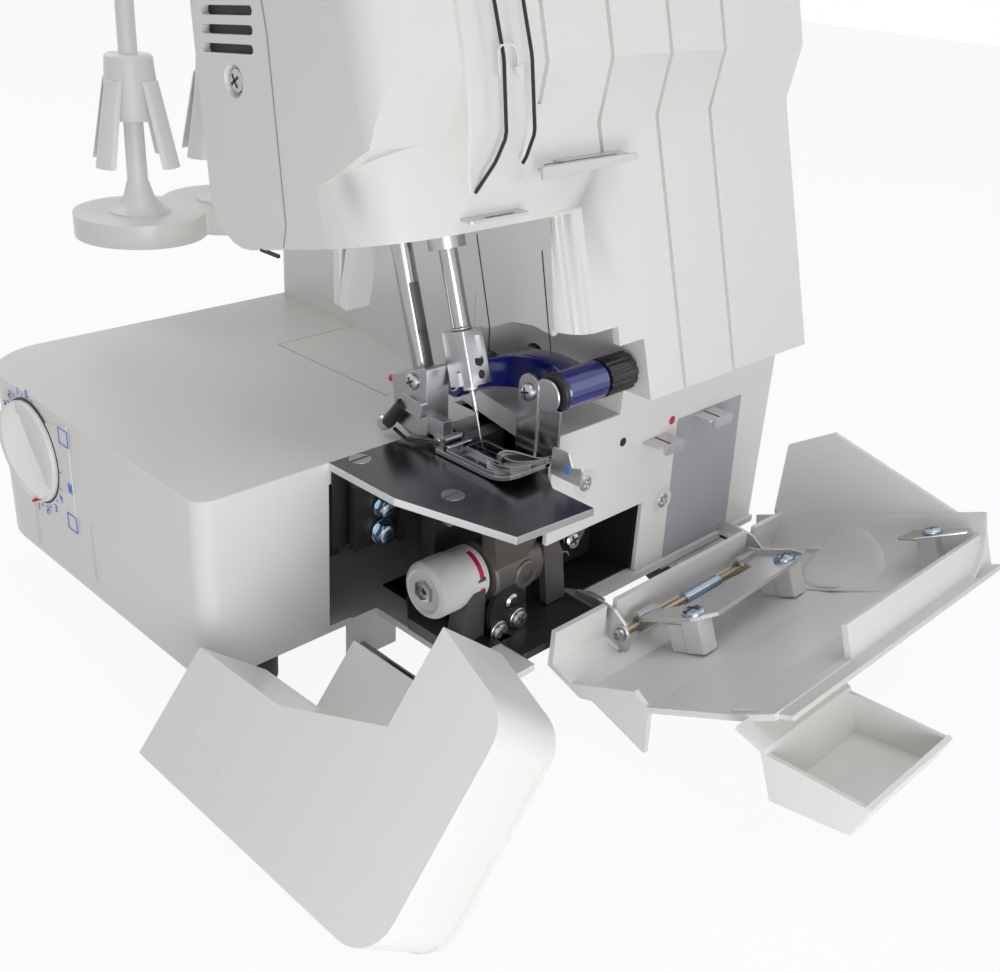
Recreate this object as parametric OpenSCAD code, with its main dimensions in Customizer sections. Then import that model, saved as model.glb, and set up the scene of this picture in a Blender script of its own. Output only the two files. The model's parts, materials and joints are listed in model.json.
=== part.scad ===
// Serger overlock machine: bed, leaning tower and head, with its side cover and looper cover open.
// X runs to the operator's right, Y away from the operator, Z up from the table.

/* [Body] */
// Width of the bed and base
bed_w = 269; // [250:1:300]
// Front face of the bed, in front of the origin
bed_front = -60; // [-66:1:-54]
// Back face of the bed
bed_back = 116; // [104:1:130]
// Height of the bed's top above the table
bed_top = 100.5; // [97:0.5:104]
// Height of the seam between base and bed cover
seam_z = 62.5; // [60:0.5:64]
// Height of the base's underside above the table
base_z = 26.5; // [25:0.5:28]
// Wall of the moulded shells
wall = 2.6; // [2:0.1:3.2]
// Height of the tower's top
tower_top = 303; // [295:1:315]
// Height of the head's lowest point
head_bottom = 174; // [170:1:178]

/* [Front panel] */
// Lean of the front panel from vertical
panel_lean = 16; // [14:0.5:17]
// Distance between the thread channels
channel_pitch = 33; // [31:0.5:34]
// Width of a thread channel
channel_w = 2; // [1:0.1:2.4]
// Diameter of a tension dial
dial_d = 30; // [26:0.5:31]

/* [Sewing parts] */
// Lean of the needle bar and the presser bar
bar_lean = 18; // [16:0.5:19]
// Diameter of the needle bar
needle_bar_d = 7; // [6:0.1:7.2]
// Diameter of the presser bar
presser_bar_d = 8; // [7:0.1:8.5]
// Running clearance of bars and shafts in their bushes, on the radius
run_gap = 0.05; // [0.03:0.01:0.1]
// Thickness of the needle plate
plate_t = 3; // [2.4:0.1:3.6]
// Diameter of the main shaft
shaft_d = 12; // [10:0.5:14]
// Diameter of the handwheel
handwheel_d = 66; // [58:1:72]
// Radius of the motor pulley
motor_pulley_r = 9; // [8:0.5:10]
// Radius of the driven pulley
drive_pulley_r = 27; // [24:0.5:28]

/* [Covers] */
// Opening angle of the looper cover
looper_open = 67; // [60:1:68]
// Opening angle of the side cover
side_open = 51; // [46:1:51]
// Travel of the side cover toward the operator
side_slide = 10.7; // [8:0.1:11]
// Height of the side cover
side_h = 34; // [31:0.5:35]

/* [Hidden] */

// Facets of round parts and of arcs in outlines
$fn = 48;
arc_steps = 7;

// Colours
white_c = "ghostwhite";
steel_c = "silver";
cast_c = "dimgray";
black_c = "black";
blue_c = "darkblue";

// Edges of the body
bed_left = -bed_w / 2;
bed_right = bed_w / 2;
floor_t = 3;
floor_z = base_z + floor_t;
corner_back = 30;
corner_front = 7;

// Front of the tower: a vertical plate below, a leaning panel above
plate_y = bed_front - 50;
front_plate_left = -12;
opening_right = 47.7;
opening_top = bed_top - 37.3;
panel_low_z = bed_top + 19.4;
panel_low_y = plate_y - 13.7;
crease_low = 100;
crease_high = 122.5;
crease_step = 3.7;
slope = tan(panel_lean);
panel_high_y = panel_low_y + crease_low * slope;
panel_brow_y = panel_high_y - crease_step;
panel_brow_z = panel_low_z + crease_high;
panel_top_y = panel_brow_y + (tower_top - panel_brow_z) * slope;

// Tower and head in plan
tower_left_front = front_plate_left;
tower_left_back = 24;
tower_turn_y = bed_front + 116;
head_left = bed_left + 44.5;
head_back = bed_front + 65;
head_corner_r = 20;
head_corner = [bed_front + 53.5 - head_corner_r, head_bottom + head_corner_r];
head_rise = 13.5;
head_r_low = 30;
head_r_high = 12;
head_r_inner = 50;
tower_corner_r = 12;

// Needle point, at the bed's height, and the presser bar beside it
needle_x = -28;
needle_y = bed_front - 28.4;
presser_x = needle_x - 8.6;
presser_y = needle_y + 16.2;

// Upper knife: rocking shaft at the back, front tube with its turning holder
knife_shaft_y = bed_front - 2;
knife_shaft_z = bed_top + 19.5;
knife_front_y = plate_y - 1;
knife_front_z = bed_top + 28.5;
tube_d = 14.4;
spindle_d = 8;
knife_left = needle_x + 7.6;
knife_t = 2;
tube_left = knife_left + knife_t + 1.4;
tube_right = 7.6;
knob_l = 15;
pocket_right = 26;
pocket_top = bed_top + 49.5;
pocket_bottom = bed_top + 9;
pocket_back = bed_front + 8;

// Length knob and the casting's horizontal barrel
barrel_y = bed_front - 33;
barrel_z = base_z + 27;
barrel_d = 20;
length_knob_d = 22.8;
length_knob_l = 24;
length_knob_right = -36.6;

// Loopers
upper_pivot = [24, base_z + 24.5];
lower_pivot = [8, base_z + 13.5];
upper_looper_y = needle_y - 4;
lower_looper_y = needle_y + 4.5;
looper_t = 3;

// Drive: main shaft and motor
shaft_y = bed_front + 52;
shaft_z = base_z + 52.5;
motor_y = bed_front + 122;
motor_z = base_z + 32;
motor_d = 54;
pulley_x = bed_right - 34.5;
pulley_w = 10;

// Looper cover: hinge line, and its outline when closed
hinge_y = plate_y - 25.1;
hinge_z = base_z - 0.1;
rod_d = 3.6;
ear_left = 10.5;
ear_right = 111;
cover_left = -22;
cover_right = bed_right + 4;
cover_face = hinge_y - 14.5;
cover_top = panel_low_z - 1;

// Side cover: hinge pin, and its outline when closed
pin_x = -64;
pin_z = base_z - 12.75;
pin_d = 5;
side_left = bed_left + 10.5;
side_right = needle_x - 5;
side_back = bed_front - 0.5;
side_front = side_back - 123;
side_floor_z = bed_top - side_h;
eye_t = 5;

// Left side dial and the tension dials
dial_stem_d = 8;
dial_y = bed_front + 122.7;
dial_z = seam_z + 11.5;
channel_x0 = -18.5;
tension_z = tower_top - 26;
tension_y = panel_brow_y + (tension_z - panel_brow_z) * slope + dial_d / 2 - 6;

// Spool stand
spool_y = bed_back + 31.5;
spool_x0 = -33;
spool_pitch = 48;
spool_z = bed_top + 32.5;
spool_t = 11;
pole_x = spool_x0 + 1.5 * spool_pitch;
pole_y = bed_back + 13;
pole_d = 12;
pole_top = tower_top - 30;

// ---------- helpers ----------
function unit2(v) = v / norm(v);
// Points of an arc about c
function arc(c, r, a0, a1, n = arc_steps) =
  [for (i = [0:n]) let(a = a0 + (a1 - a0) * i / n) c + r * [cos(a), sin(a)]];
// A counter-clockwise outline moved inward by w
function inset(p, w) = let(n = len(p)) [for (i = [0:n - 1])
  let(u = unit2(p[i] - p[(i + n - 1) % n]), v = unit2(p[(i + 1) % n] - p[i]),
      a = [-u.y, u.x], b = [-v.y, v.x]) p[i] + (a + b) * w / (1 + a * b)];
// An open path moved to its left by w
function beside(p, w) = let(n = len(p)) [for (i = [0:n - 1])
  let(u = unit2(i == 0 ? p[1] - p[0] : p[i] - p[i - 1]),
      v = unit2(i == n - 1 ? p[i] - p[i - 1] : p[i + 1] - p[i]),
      a = [-u.y, u.x], b = [-v.y, v.x]) p[i] + (a + b) * w / (1 + a * b)];
function reversed(p) = [for (i = [len(p) - 1:-1:0]) p[i]];
// A strip of thickness w on the left of an open path, starting from offset o
function strip(p, w, o = 0) = concat(beside(p, o), reversed(beside(p, o + w)));

module box(p, q) translate(p) cube(q - p);
module rod_x(x0, x1, y, z, d) translate([x0, y, z]) rotate([0, 90, 0]) cylinder(h = x1 - x0, d = d);
module rod_y(y0, y1, x, z, d) translate([x, y0, z]) rotate([-90, 0, 0]) cylinder(h = y1 - y0, d = d);
// Extrudes an outline given as (y, z) along X
module along_x(x0, x1) translate([x0, 0, 0]) rotate([90, 0, 90]) linear_extrude(x1 - x0) children();
// Extrudes an outline given as (x, z) along Y
module along_y(y0, y1) translate([0, y1, 0]) rotate([90, 0, 0]) linear_extrude(y1 - y0) children();
// A rectangle with its four corners rounded, front left first, counter-clockwise
module plan(p, q, r) {
  difference() {
    translate(p) square(q - p);
    for (c = [[p.x, p.y, 1, 1, r[0]], [q.x, p.y, -1, 1, r[1]], [q.x, q.y, -1, -1, r[2]], [p.x, q.y, 1,
      -1, r[3]]])
      if (c[4] > 0)
        translate([c[0], c[1]]) scale([c[2], c[3]]) difference() {
          translate([-1, -1]) square(c[4] + 1);
          translate([c[4], c[4]]) circle(c[4]);
        }
  }
}
// Frames of the needle bar and the presser bar, with Z up along the bar
module at_needle() translate([needle_x, needle_y, bed_top]) rotate([-bar_lean, 0, 0]) children();
module at_presser() translate([presser_x, presser_y, bed_top]) rotate([-bar_lean, 0, 0]) children();
// Places a closed looper cover part at its open rest pose
module looper_rest() translate([0, hinge_y, hinge_z]) rotate([looper_open, 0, 0])
  translate([0, -hinge_y, -hinge_z]) children();
// Places a closed side cover part at its open rest pose
module side_rest() translate([pin_x, -side_slide, pin_z]) rotate([0, -side_open, 0])
  translate([-pin_x, 0, -pin_z]) children();

// ---------- base and bed ----------
module base_plan() plan([bed_left, bed_front], [bed_right, bed_back], [corner_front, 0, corner_back,
  corner_back]);
module base_plan_in() plan([bed_left + wall, bed_front + wall], [bed_right - wall, bed_back - wall],
  [corner_front - wall, 0, corner_back - wall, corner_back - wall]);
front_wall_right = bed_left + 55.2;
foot_spots = [[bed_left + 34, bed_front + 28], [bed_right - 34, plate_y + 18],
  [bed_left + 40, bed_back - 34], [bed_right - 40, bed_back - 34]];
pan_z = base_z - 8;
foot_d = 26;
stem_d = 9;
tray_left = pin_x + 7.5;
tongue_right = tray_left + 20.5;
lug_w = 4;
lug_front_y = plate_y - 20;
tray_front = plate_y - 2;

module base_tray() color(white_c) difference() {
  union() {
    difference() {
      translate([0, 0, base_z]) linear_extrude(seam_z - base_z) base_plan();
      translate([0, 0, floor_z]) linear_extrude(bed_top) base_plan_in();
      box([front_wall_right, bed_front - 1, floor_z], [bed_right + 1, bed_front + wall + 1, bed_top]);
    }
    box([tray_left, tray_front, base_z], [bed_right, bed_front + wall, floor_z]);
    box([tray_left, lug_front_y, base_z], [tongue_right, tray_front + 1, floor_z]);
    // underside pan that carries the feet
    box([bed_left + 15, bed_front + 15, pan_z], [bed_right - 15, bed_back - 15, base_z + 1]);
    box([bed_right - 55, tray_front + 2, pan_z], [bed_right - 15, bed_front + 16, base_z + 1]);
    // lugs of the side cover's hinge pin
    for (y = [bed_front - 1, lug_front_y])
      box([pin_x - 5, y, pin_z - 5], [tongue_right - 10, y + lug_w, floor_z]);
  }
  rod_y(lug_front_y - 1, bed_front + lug_w, pin_x, pin_z, pin_d);
  for (p = foot_spots) translate([p.x, p.y, pan_z - 1]) cylinder(h = 7, d = stem_d);
  inlet_hole();
}

module rubber_feet() color(black_c) for (p = foot_spots) translate([p.x, p.y, 0]) {
  cylinder(h = 2, d1 = foot_d - 3, d2 = foot_d);
  translate([0, 0, 2]) cylinder(h = pan_z - 2, d = foot_d);
  translate([0, 0, pan_z]) cylinder(h = 6, d = stem_d);
}

groove = 0.8;
flap_left = -21;
flap_front = bed_front + 35.5;
flap_back = bed_front + 113.8;
module bed_cover() color(white_c) difference() {
  translate([0, 0, seam_z]) linear_extrude(bed_top - seam_z) base_plan();
  difference() {
    translate([0, 0, seam_z - 1]) linear_extrude(bed_top - wall - seam_z + 1) base_plan_in();
    // thicker skirt behind the needle plate
    box([front_wall_right - 3, bed_front, bed_top - 9], [tower_left_front, bed_front + wall, bed_top]);
  }
  box([front_wall_right, bed_front - 1, seam_z - 1], [bed_right - wall, bed_front + wall + 1, bed_top - 9]);
  // opening under the tower
  box([tower_left_back + 10, bed_front + 14, bed_top - 9], [bed_right - 9, bed_back - 10, bed_top + 1]);
  box([tower_left_front + 9, bed_front - 1, bed_top - 10], [bed_right - wall, bed_front + 15, bed_top + 1]);
  // joint lines of the lid in the bed's top
  box([flap_left, flap_front, bed_top - groove], [flap_left + groove, flap_back, bed_top + 1]);
  box([flap_left, flap_back, bed_top - groove], [tower_left_back, flap_back + groove, bed_top + 1]);
  rod_x(bed_right - wall - 1, bed_right + 1, shaft_y, shaft_z, shaft_d + 3);
  rod_x(bed_left - 1, bed_left + wall + 1, dial_y, dial_z, dial_stem_d + 6);
}

// ---------- tower and head ----------
panel_t = 3;
shell_front = plate_y + wall;
panel_back = panel_t / cos(panel_lean);
// Outline of the leaning front, as (y, z), moved back by d, its low end raised by low
function front_line(d, low = 0) = [[panel_low_y + d + low * slope, panel_low_z + low], [panel_high_y + d,
  panel_low_z + crease_low],
  [panel_brow_y + d, panel_brow_z], [panel_top_y + d, tower_top]];
tower_plan = [[tower_left_front, plate_y - 40], [bed_right, plate_y - 40], [bed_right, tower_turn_y],
  [tower_left_back, tower_turn_y], [tower_left_front, plate_y + 5]];
// The head's side outline, with a straight front, and the same for the part above the crease
head_turn = head_corner - head_corner_r * [sin(head_rise), cos(head_rise)];
head_run = (head_turn.x - panel_low_y - (head_turn.y - panel_low_z) * slope)
  / (cos(head_rise) + slope * sin(head_rise));
head_side = concat([head_turn + head_run * [-cos(head_rise), sin(head_rise)]],
  arc(head_corner, head_corner_r, -90 - head_rise, 0),
  [[head_back, tower_top], [panel_low_y + (tower_top - panel_low_z) * slope, tower_top]]);
scoop_fall = 33;
scoop_run = 60;
head_side_high = [[panel_high_y, panel_low_z + crease_low],
  [panel_high_y + scoop_run, panel_low_z + crease_low - scoop_run * tan(scoop_fall)],
  [panel_high_y + scoop_run + 15, tower_top], [panel_top_y, tower_top], [panel_brow_y, panel_brow_z]];
// Fronts of the lower and upper zones in the leaning frame, whose Y axis is square to them
lean_low = panel_low_y * cos(panel_lean) - panel_low_z * sin(panel_lean);
lean_high = panel_brow_y * cos(panel_lean) - panel_brow_z * sin(panel_lean);
module lean() rotate([-panel_lean, 0, 0]) children();
// The head seen along the lean, its left corner rounded, all of it m inward
module head_lean(front, r, m = 0) lean() translate([0, 0, -50]) linear_extrude(500)
  polygon(concat([[head_left + m, 200]], arc([head_left + m + r, front + m + r], r, 180, 270),
    [[tower_left_front + 20, front + m], [tower_left_front + 20, 200]]));
head_right = tower_left_front + tower_corner_r + 2;
module head_outer() {
  intersection() {
    along_x(head_left, head_right) polygon(head_side);
    head_lean(lean_low, head_r_low);
  }
  intersection() {
    along_x(head_left, head_right) polygon(head_side_high);
    head_lean(lean_high, head_r_high);
  }
}
module body_outer() {
  difference() {
    intersection() {
      translate([0, 0, bed_top]) linear_extrude(tower_top - bed_top) polygon(tower_plan);
      along_x(head_left - 1, bed_right + 1) polygon(concat(reversed(front_line(0)),
        [[shell_front, panel_low_z], [shell_front, bed_top - 1],
         [tower_turn_y, bed_top - 1], [tower_turn_y, tower_top]]));
    }
    // rounded left edge of the tower's front, up to the head
    lean() difference() {
      box([tower_left_front - 1, lean_low - 1, 0],
        [tower_left_front + tower_corner_r, lean_low + tower_corner_r, head_bottom - 16]);
      translate([tower_left_front + tower_corner_r, lean_low + tower_corner_r, -1])
        cylinder(h = head_bottom, r = tower_corner_r);
    }
  }
  head_outer();
}
// What the front panel takes of the body: a skin that wraps round the tower's left edge
panel_left = head_left + 63.8;
module panel_zone() difference() {
  lean() box([panel_left, lean_high - 5, -50], [bed_right + 1, lean_low + tower_corner_r, 400]);
  along_x(tower_left_front + panel_t, bed_right + 2) polygon(concat(reversed(front_line(panel_back)),
    [[panel_low_y + panel_back, panel_low_z - 1], [0, panel_low_z - 1], [0, tower_top]]));
  along_x(panel_left - 1, head_right) polygon(inset(head_side, panel_t));
}
// What the end cap takes of the head
cap_t = 3;
cap_seam = [[bed_front + 30, tower_top], [bed_front + 15.7, head_bottom + 73],
  [bed_front + 7.7, head_bottom + 13]];
cap_low_y = bed_front + 10.5;
cap_side = concat([[cap_low_y, head_turn.y + (head_turn.x - cap_low_y) * tan(head_rise)]],
  arc(head_corner, head_corner_r, -90 - head_rise, 0), [[head_back, tower_top]], cap_seam);

module arm_outer() difference() {
  body_outer();
  panel_zone();
  along_x(head_left - 1, head_left + cap_t) polygon(cap_side);
}
module arm_inner() intersection() {
  union() {
    translate([0, 0, bed_top - 1]) linear_extrude(tower_top - wall - bed_top + 1) polygon([
      [tower_left_front + wall, plate_y - 40], [bed_right - wall, plate_y - 40], [bed_right - wall,
        tower_turn_y + 1],
      [tower_left_back + wall, tower_turn_y + 1], [tower_left_front + wall, plate_y + 5]]);
    intersection() {
      along_x(head_left + wall, head_right) polygon(inset(head_side, wall));
      head_lean(lean_high, head_r_inner, wall);
    }
  }
  along_x(head_left - 1, bed_right + 1) polygon(concat(reversed(front_line(panel_back + wall, wall)),
    [[shell_front + wall, panel_low_z + wall],
     [shell_front + wall, bed_top - 2], [tower_turn_y + 2, bed_top - 2], [tower_turn_y + 2, tower_top]]));
}
// Recess in the tower for the upper knife's arm and knob
module pocket(m = 0) box([tower_left_front - 12, plate_y - 30, pocket_bottom - m],
  [pocket_right + m, pocket_back + m, pocket_top + m]);
bush_needle_d = needle_bar_d + 7;
bush_presser_d = presser_bar_d + 4.5;
needle_bush_low = 77;
presser_bush_low = 83;
bush_high = 94;
lever_y = bed_front + 30;
lever_z = head_bottom + 13;
lever_w = 12;
lever_slot = 1.5;
guide_slot_w = 10;

module dial_slots() for (i = [0:3]) {
  x = channel_x0 + channel_pitch * (i + 0.5);
  rod_x(x - guide_slot_w / 2, x + guide_slot_w / 2, tension_y, tension_z, dial_d + 2);
}

module arm_shell() color(white_c) difference() {
  union() {
    difference() {
      arm_outer();
      arm_inner();
    }
    intersection() {
      arm_outer();
      pocket(wall);
    }
  }
  pocket();
  dial_slots();
  at_needle() translate([0, 0, bush_high - 34]) cylinder(h = 34, d = bush_needle_d);
  at_presser() translate([0, 0, bush_high - 34]) cylinder(h = 34, d = bush_presser_d);
  box([presser_x - lever_w / 2 - lever_slot, lever_y - 8, head_bottom - 1],
    [presser_x + lever_w / 2 + lever_slot, head_back + 1, lever_z + 10]);
  // seat of the dials' axle, and bore of the knife shaft in the recess's wall
  rod_x(tower_left_front + panel_t, head_right + 1, tension_y, tension_z, axle_d);
  rod_x(pocket_right - 1, pocket_right + wall + 1, knife_shaft_y, knife_shaft_z, spindle_d + 2);
}

module column_shell() color(white_c) difference() {
  translate([0, 0, bed_top]) linear_extrude(tower_top - bed_top)
    plan([tower_left_back, tower_turn_y], [bed_right, bed_back], [0, 0, corner_front, corner_front]);
  translate([0, 0, bed_top - 1]) linear_extrude(tower_top - wall - bed_top + 1)
    plan([tower_left_back + wall, tower_turn_y - 1], [bed_right - wall, bed_back - wall],
      [0, 0, corner_front - wall, corner_front - wall]);
}

vent_pitch = 5.9;
vent_h = 3;
vent_l = 27;
module end_cap() color(white_c) difference() {
  along_x(head_left, head_left + cap_t) polygon(cap_side);
  for (i = [0:7]) translate([head_left - 1, bed_front + 25, head_bottom + 65.5 + i * vent_pitch])
    rotate([-5, 0, 0]) {
    cube([cap_t + 2, vent_l, vent_h]);
    for (y = [0, vent_l]) translate([0, y, vent_h / 2]) rotate([0, 90, 0]) cylinder(h = cap_t + 2,
      d = vent_h);
  }
}

// ---------- fronts ----------
panel_cut_top = bed_top + 49.5;
module front_plate() color(white_c) difference() {
  union() {
    box([front_plate_left, plate_y, floor_z], [bed_right, shell_front, panel_low_z]);
    box([bed_right - wall, shell_front, floor_z], [bed_right, bed_front, bed_top]);
  }
  box([front_plate_left - 1, plate_y - 1, floor_z - 1], [opening_right, shell_front + 1, opening_top]);
  pocket();
}

channel_end = [panel_brow_z - 14, panel_low_z + crease_low - 11, panel_low_z - 1, panel_low_z - 1];
module tension_panel() color(white_c) difference() {
  intersection() {
    body_outer();
    panel_zone();
  }
  for (i = [0:3]) intersection() {
    translate([channel_x0 + channel_pitch * i - channel_w / 2, 0, 0]) along_x(0, channel_w)
      polygon(concat(front_line(-2), reversed(front_line(panel_back - 1.2))));
    box([panel_left, plate_y - 30, channel_end[i]], [bed_right, 0, tower_top + 1]);
  }
  box([tower_left_front - 1, plate_y - 30, panel_low_z - 1], [12, pocket_back, panel_cut_top]);
  box([0, plate_y - 30, panel_low_z - 1], [pocket_right, pocket_back, knife_front_z + 14]);
  dial_slots();
}

capsule_left = head_left + 28.8;
capsule_right = capsule_left + 36;
capsule_low = head_bottom + 31;
capsule_rise = 6;
module guide_capsule() color(white_c) difference() {
  along_x(capsule_left, capsule_right)
    polygon(concat([[panel_top_y + 40, tower_top], [panel_low_y + 60, capsule_low]],
      [[panel_low_y + (capsule_low - panel_low_z) * slope - capsule_rise, capsule_low + 6]],
      [for (i = [1:3]) front_line(-capsule_rise)[i]]));
  body_outer();
  // two thread grooves
  for (x = [capsule_left + 12, capsule_left + 25])
    along_x(x, x + 1.6) polygon(concat(front_line(-capsule_rise - 2),
      reversed(front_line(2 - capsule_rise))));
}

// ---------- needle plate and casting ----------
plate_z = bed_top - plate_t;
screw_d = 8.4;
plate_screw_spots = [[-68.3, bed_front - 4.6], [-61.3, bed_front - 47.6]];
plate_right = needle_x + 4.6;
module needle_plate() color(steel_c) difference() {
  translate([0, 0, plate_z]) linear_extrude(plate_t) polygon([[front_wall_right, bed_front],
    [front_wall_right + 0.4, bed_front - 36.5], [front_wall_right + 13.7, bed_front - 83.4],
    [needle_x - 1.5, bed_front - 85.7], [needle_x - 1.5, bed_front - 66],
    [plate_right, bed_front - 58], [plate_right, bed_front]]);
  // needle slot and the feed dog's two slots
  box([needle_x - 3, needle_y - 6, plate_z - 1], [needle_x + 3, needle_y + 5, bed_top + 1]);
  for (x = dog_x) box([x - 1.4, dog_y - 13, plate_z - 1], [x + 1.4, dog_y + 11, bed_top + 1]);
  for (p = plate_screw_spots) translate([p.x, p.y, 0]) {
    translate([0, 0, bed_top - 1.2]) cylinder(h = 2, d = screw_d);
    translate([0, 0, plate_z - 1]) cylinder(h = plate_t, d = 4);
  }
}
module plate_screws() color(steel_c) for (p = plate_screw_spots) translate([p.x, p.y, 0]) difference() {
  union() {
    translate([0, 0, bed_top - 1.2]) cylinder(h = 1.4, d = screw_d);
    translate([0, 0, plate_z - 6]) cylinder(h = plate_t + 5, d = 4);
  }
  translate([-screw_d, -0.6, bed_top - 0.7]) cube([2 * screw_d, 1.2, 2]);
}
dog_x = [needle_x - 8.5, needle_x - 4.6];
dog_y = needle_y + 2;

casting_left = needle_x - 8;
casting_right = needle_x + 14;
casting_front = bed_front - 46;
shoulder_z = bed_top - 34;
flange_left = tray_left + 4.5;
socket_spot = [-20.9, bed_top - 47.9];
module looper_frame() color(cast_c) difference() {
  union() {
    // front wall under the needle plate and its foot
    box([casting_left, casting_front, barrel_z - 8], [casting_left + 12, casting_front + 7, plate_z]);
    box([casting_left, casting_front, barrel_z - 8], [casting_right, casting_front + 7, shoulder_z]);
    box([flange_left, casting_front - 16, floor_z], [casting_left, casting_front, barrel_z]);
    box([casting_left, casting_front - 8, floor_z], [casting_left + 10, casting_front + 7, barrel_z]);
    // left cheek with the barrel of the length knob, and back wall
    box([casting_left, casting_front + 7, barrel_z - 14], [casting_left + 4, shell_y, plate_z - 16]);
    box([casting_left, shell_y, floor_z], [casting_left + 36, shell_y + 8, plate_z]);
    rod_x(casting_left - 0.5, casting_left + 1, barrel_y, barrel_z, barrel_d);
    rod_y(casting_front - 2, casting_front + 1, socket_spot.x, socket_spot.y, 9);
    // arms that carry the needle plate
    box([plate_screw_spots[0].x + 8, shell_y, plate_z - 8], [casting_left + 1, shell_y + 5.9, plate_z]);
    box([plate_screw_spots[1].x - 6, plate_screw_spots[1].y - 5, plate_z - 8],
      [casting_left + 4, plate_screw_spots[1].y + 5, plate_z]);
    // bearing wall of the loopers
    box([-4, bed_front - 6, floor_z], [36, bed_front + 12, upper_pivot.y + 10]);
  }
  rod_x(casting_left - 2, casting_left + 5, barrel_y, barrel_z, dial_stem_d + 2 * run_gap);
  for (p = [upper_pivot, lower_pivot])
    rod_y(bed_front - 7, bed_front + 13, p.x, p.y, spindle_d + 2 * run_gap);
  for (p = plate_screw_spots) translate([p.x, p.y, plate_z - 6]) cylinder(h = 8, d = 4);
}
shell_y = bed_front - 12;

bracket_y = bed_front - 6;
bracket_screws = [[-60, bed_top - 21.5], [-60, bed_top - 31.5]];
module frame_bracket() color(black_c) difference() {
  union() {
    box([-72, bracket_y, bed_top - 37.5], [-50, bracket_y + 3, plate_z - 2]);
    box([-53, shell_y + 2, bed_top - 37.5], [-50, bracket_y + 3, plate_z - 8]);
    box([-53, shell_y + 2, bed_top - 30], [casting_left, shell_y + 6, bed_top - 20]);
    box([-72, bracket_y + 3, bed_top - 8], [-50, bed_front, plate_z - 2]);
    // boss under the needle plate's rear screw
    translate([plate_screw_spots[0].x, plate_screw_spots[0].y, plate_z - 7]) cylinder(h = 7, d = 9);
  }
  translate([plate_screw_spots[0].x, plate_screw_spots[0].y, plate_z - 6]) cylinder(h = 8, d = 4);
  for (p = bracket_screws) rod_y(bracket_y - 1, bracket_y + 4, p[0], p[1], 3.4);
}
module frame_screws() color(steel_c) for (p = bracket_screws) {
  rod_y(bracket_y - 2.4, bracket_y, p[0], p[1], 7.6);
  rod_y(bracket_y, bracket_y + 6, p[0], p[1], 3.4);
}

module lower_knife() color(steel_c) {
  box([plate_right + 0.1, needle_y - 16, shoulder_z], [knife_left - 0.4, needle_y - 8, bed_top - 0.5]);
  box([plate_right + 0.1, needle_y - 16, shoulder_z], [casting_right - 1, needle_y - 8, shoulder_z + 9]);
}

// ---------- drive ----------
bearing_x = [bed_left + 84.5, bed_right - 70.5, bed_right - 16.5];
module shaft_bushes() color(cast_c) difference() {
  union() {
    for (x = bearing_x) {
      box([x, shaft_y - 9, floor_z], [x + 9, shaft_y + 9, shaft_z]);
      rod_x(x, x + 9, shaft_y, shaft_z, 22);
    }
    // bush of the knife's rocking shaft, on the recess's wall
    rod_x(pocket_right + wall, pocket_right + wall + 10, knife_shaft_y, knife_shaft_z, 16);
  }
  rod_x(bed_left + 74.5, bed_right + 5.5, shaft_y, shaft_z, shaft_d + 2 * run_gap);
  rod_x(pocket_right, pocket_right + 34, knife_shaft_y, knife_shaft_z, spindle_d + 2 * run_gap);
}
motor_left = bed_right - 116.5;
motor_right = bed_right - 46.5;
module motor() color(black_c) difference() {
  union() {
    rod_x(motor_left, motor_right, motor_y, motor_z, motor_d);
    box([motor_left + 8, motor_y - 22, floor_z], [motor_right - 8, motor_y + 22, floor_z + 12]);
  }
  rod_x(motor_right - 30, motor_right + 1, motor_y, motor_z, spindle_d - 2 + 2 * run_gap);
}
module motor_pulley() color(steel_c) {
  rod_x(pulley_x - pulley_w / 2, pulley_x + pulley_w / 2, motor_y, motor_z, 2 * motor_pulley_r);
  rod_x(motor_right - 28, pulley_x - pulley_w / 2 + 1, motor_y, motor_z, spindle_d - 2);
}
belt_t = 1.6;
module drive_belt() color(black_c) along_x(pulley_x - 4, pulley_x + 4) difference() {
  hull() {
    translate([motor_y, motor_z]) circle(motor_pulley_r + belt_t + 0.3);
    translate([shaft_y, shaft_z]) circle(drive_pulley_r + belt_t + 0.3);
  }
  hull() {
    translate([motor_y, motor_z]) circle(motor_pulley_r + 0.3);
    translate([shaft_y, shaft_z]) circle(drive_pulley_r + 0.3);
  }
}
module main_shaft() color(steel_c) {
  rod_x(bearing_x[0] - 6, bed_right + 8, shaft_y, shaft_z, shaft_d);
  rod_x(pulley_x - pulley_w / 2, pulley_x + pulley_w / 2, shaft_y, shaft_z, 2 * drive_pulley_r);
  rod_x(bearing_x[0] - 3, bearing_x[0] - 1, shaft_y, shaft_z, 18);
}
wheel_w = 14;
module handwheel() color(white_c) difference() {
  union() {
    rod_x(bed_right + 1, bed_right + 4, shaft_y, shaft_z, 34);
    rod_x(bed_right + 3, bed_right + 3 + wheel_w, shaft_y, shaft_z, handwheel_d);
  }
  rod_x(bed_right, bed_right + 8, shaft_y, shaft_z, shaft_d);
  rod_x(bed_right + wheel_w - 3, bed_right + wheel_w + 4, shaft_y, shaft_z, handwheel_d - 14);
  for (a = [0:20:340]) translate([bed_right + 2, shaft_y, shaft_z]) rotate([a, 0, 0])
    translate([0, handwheel_d / 2 + 0.8, 0]) rotate([0, 90, 0]) cylinder(h = wheel_w + 2, d = 4);
}

// ---------- needle and presser bars ----------
bar_top = 150;
upper_z = head_bottom + 43;
upper_bush = (upper_z - bed_top) / cos(bar_lean);
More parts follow.
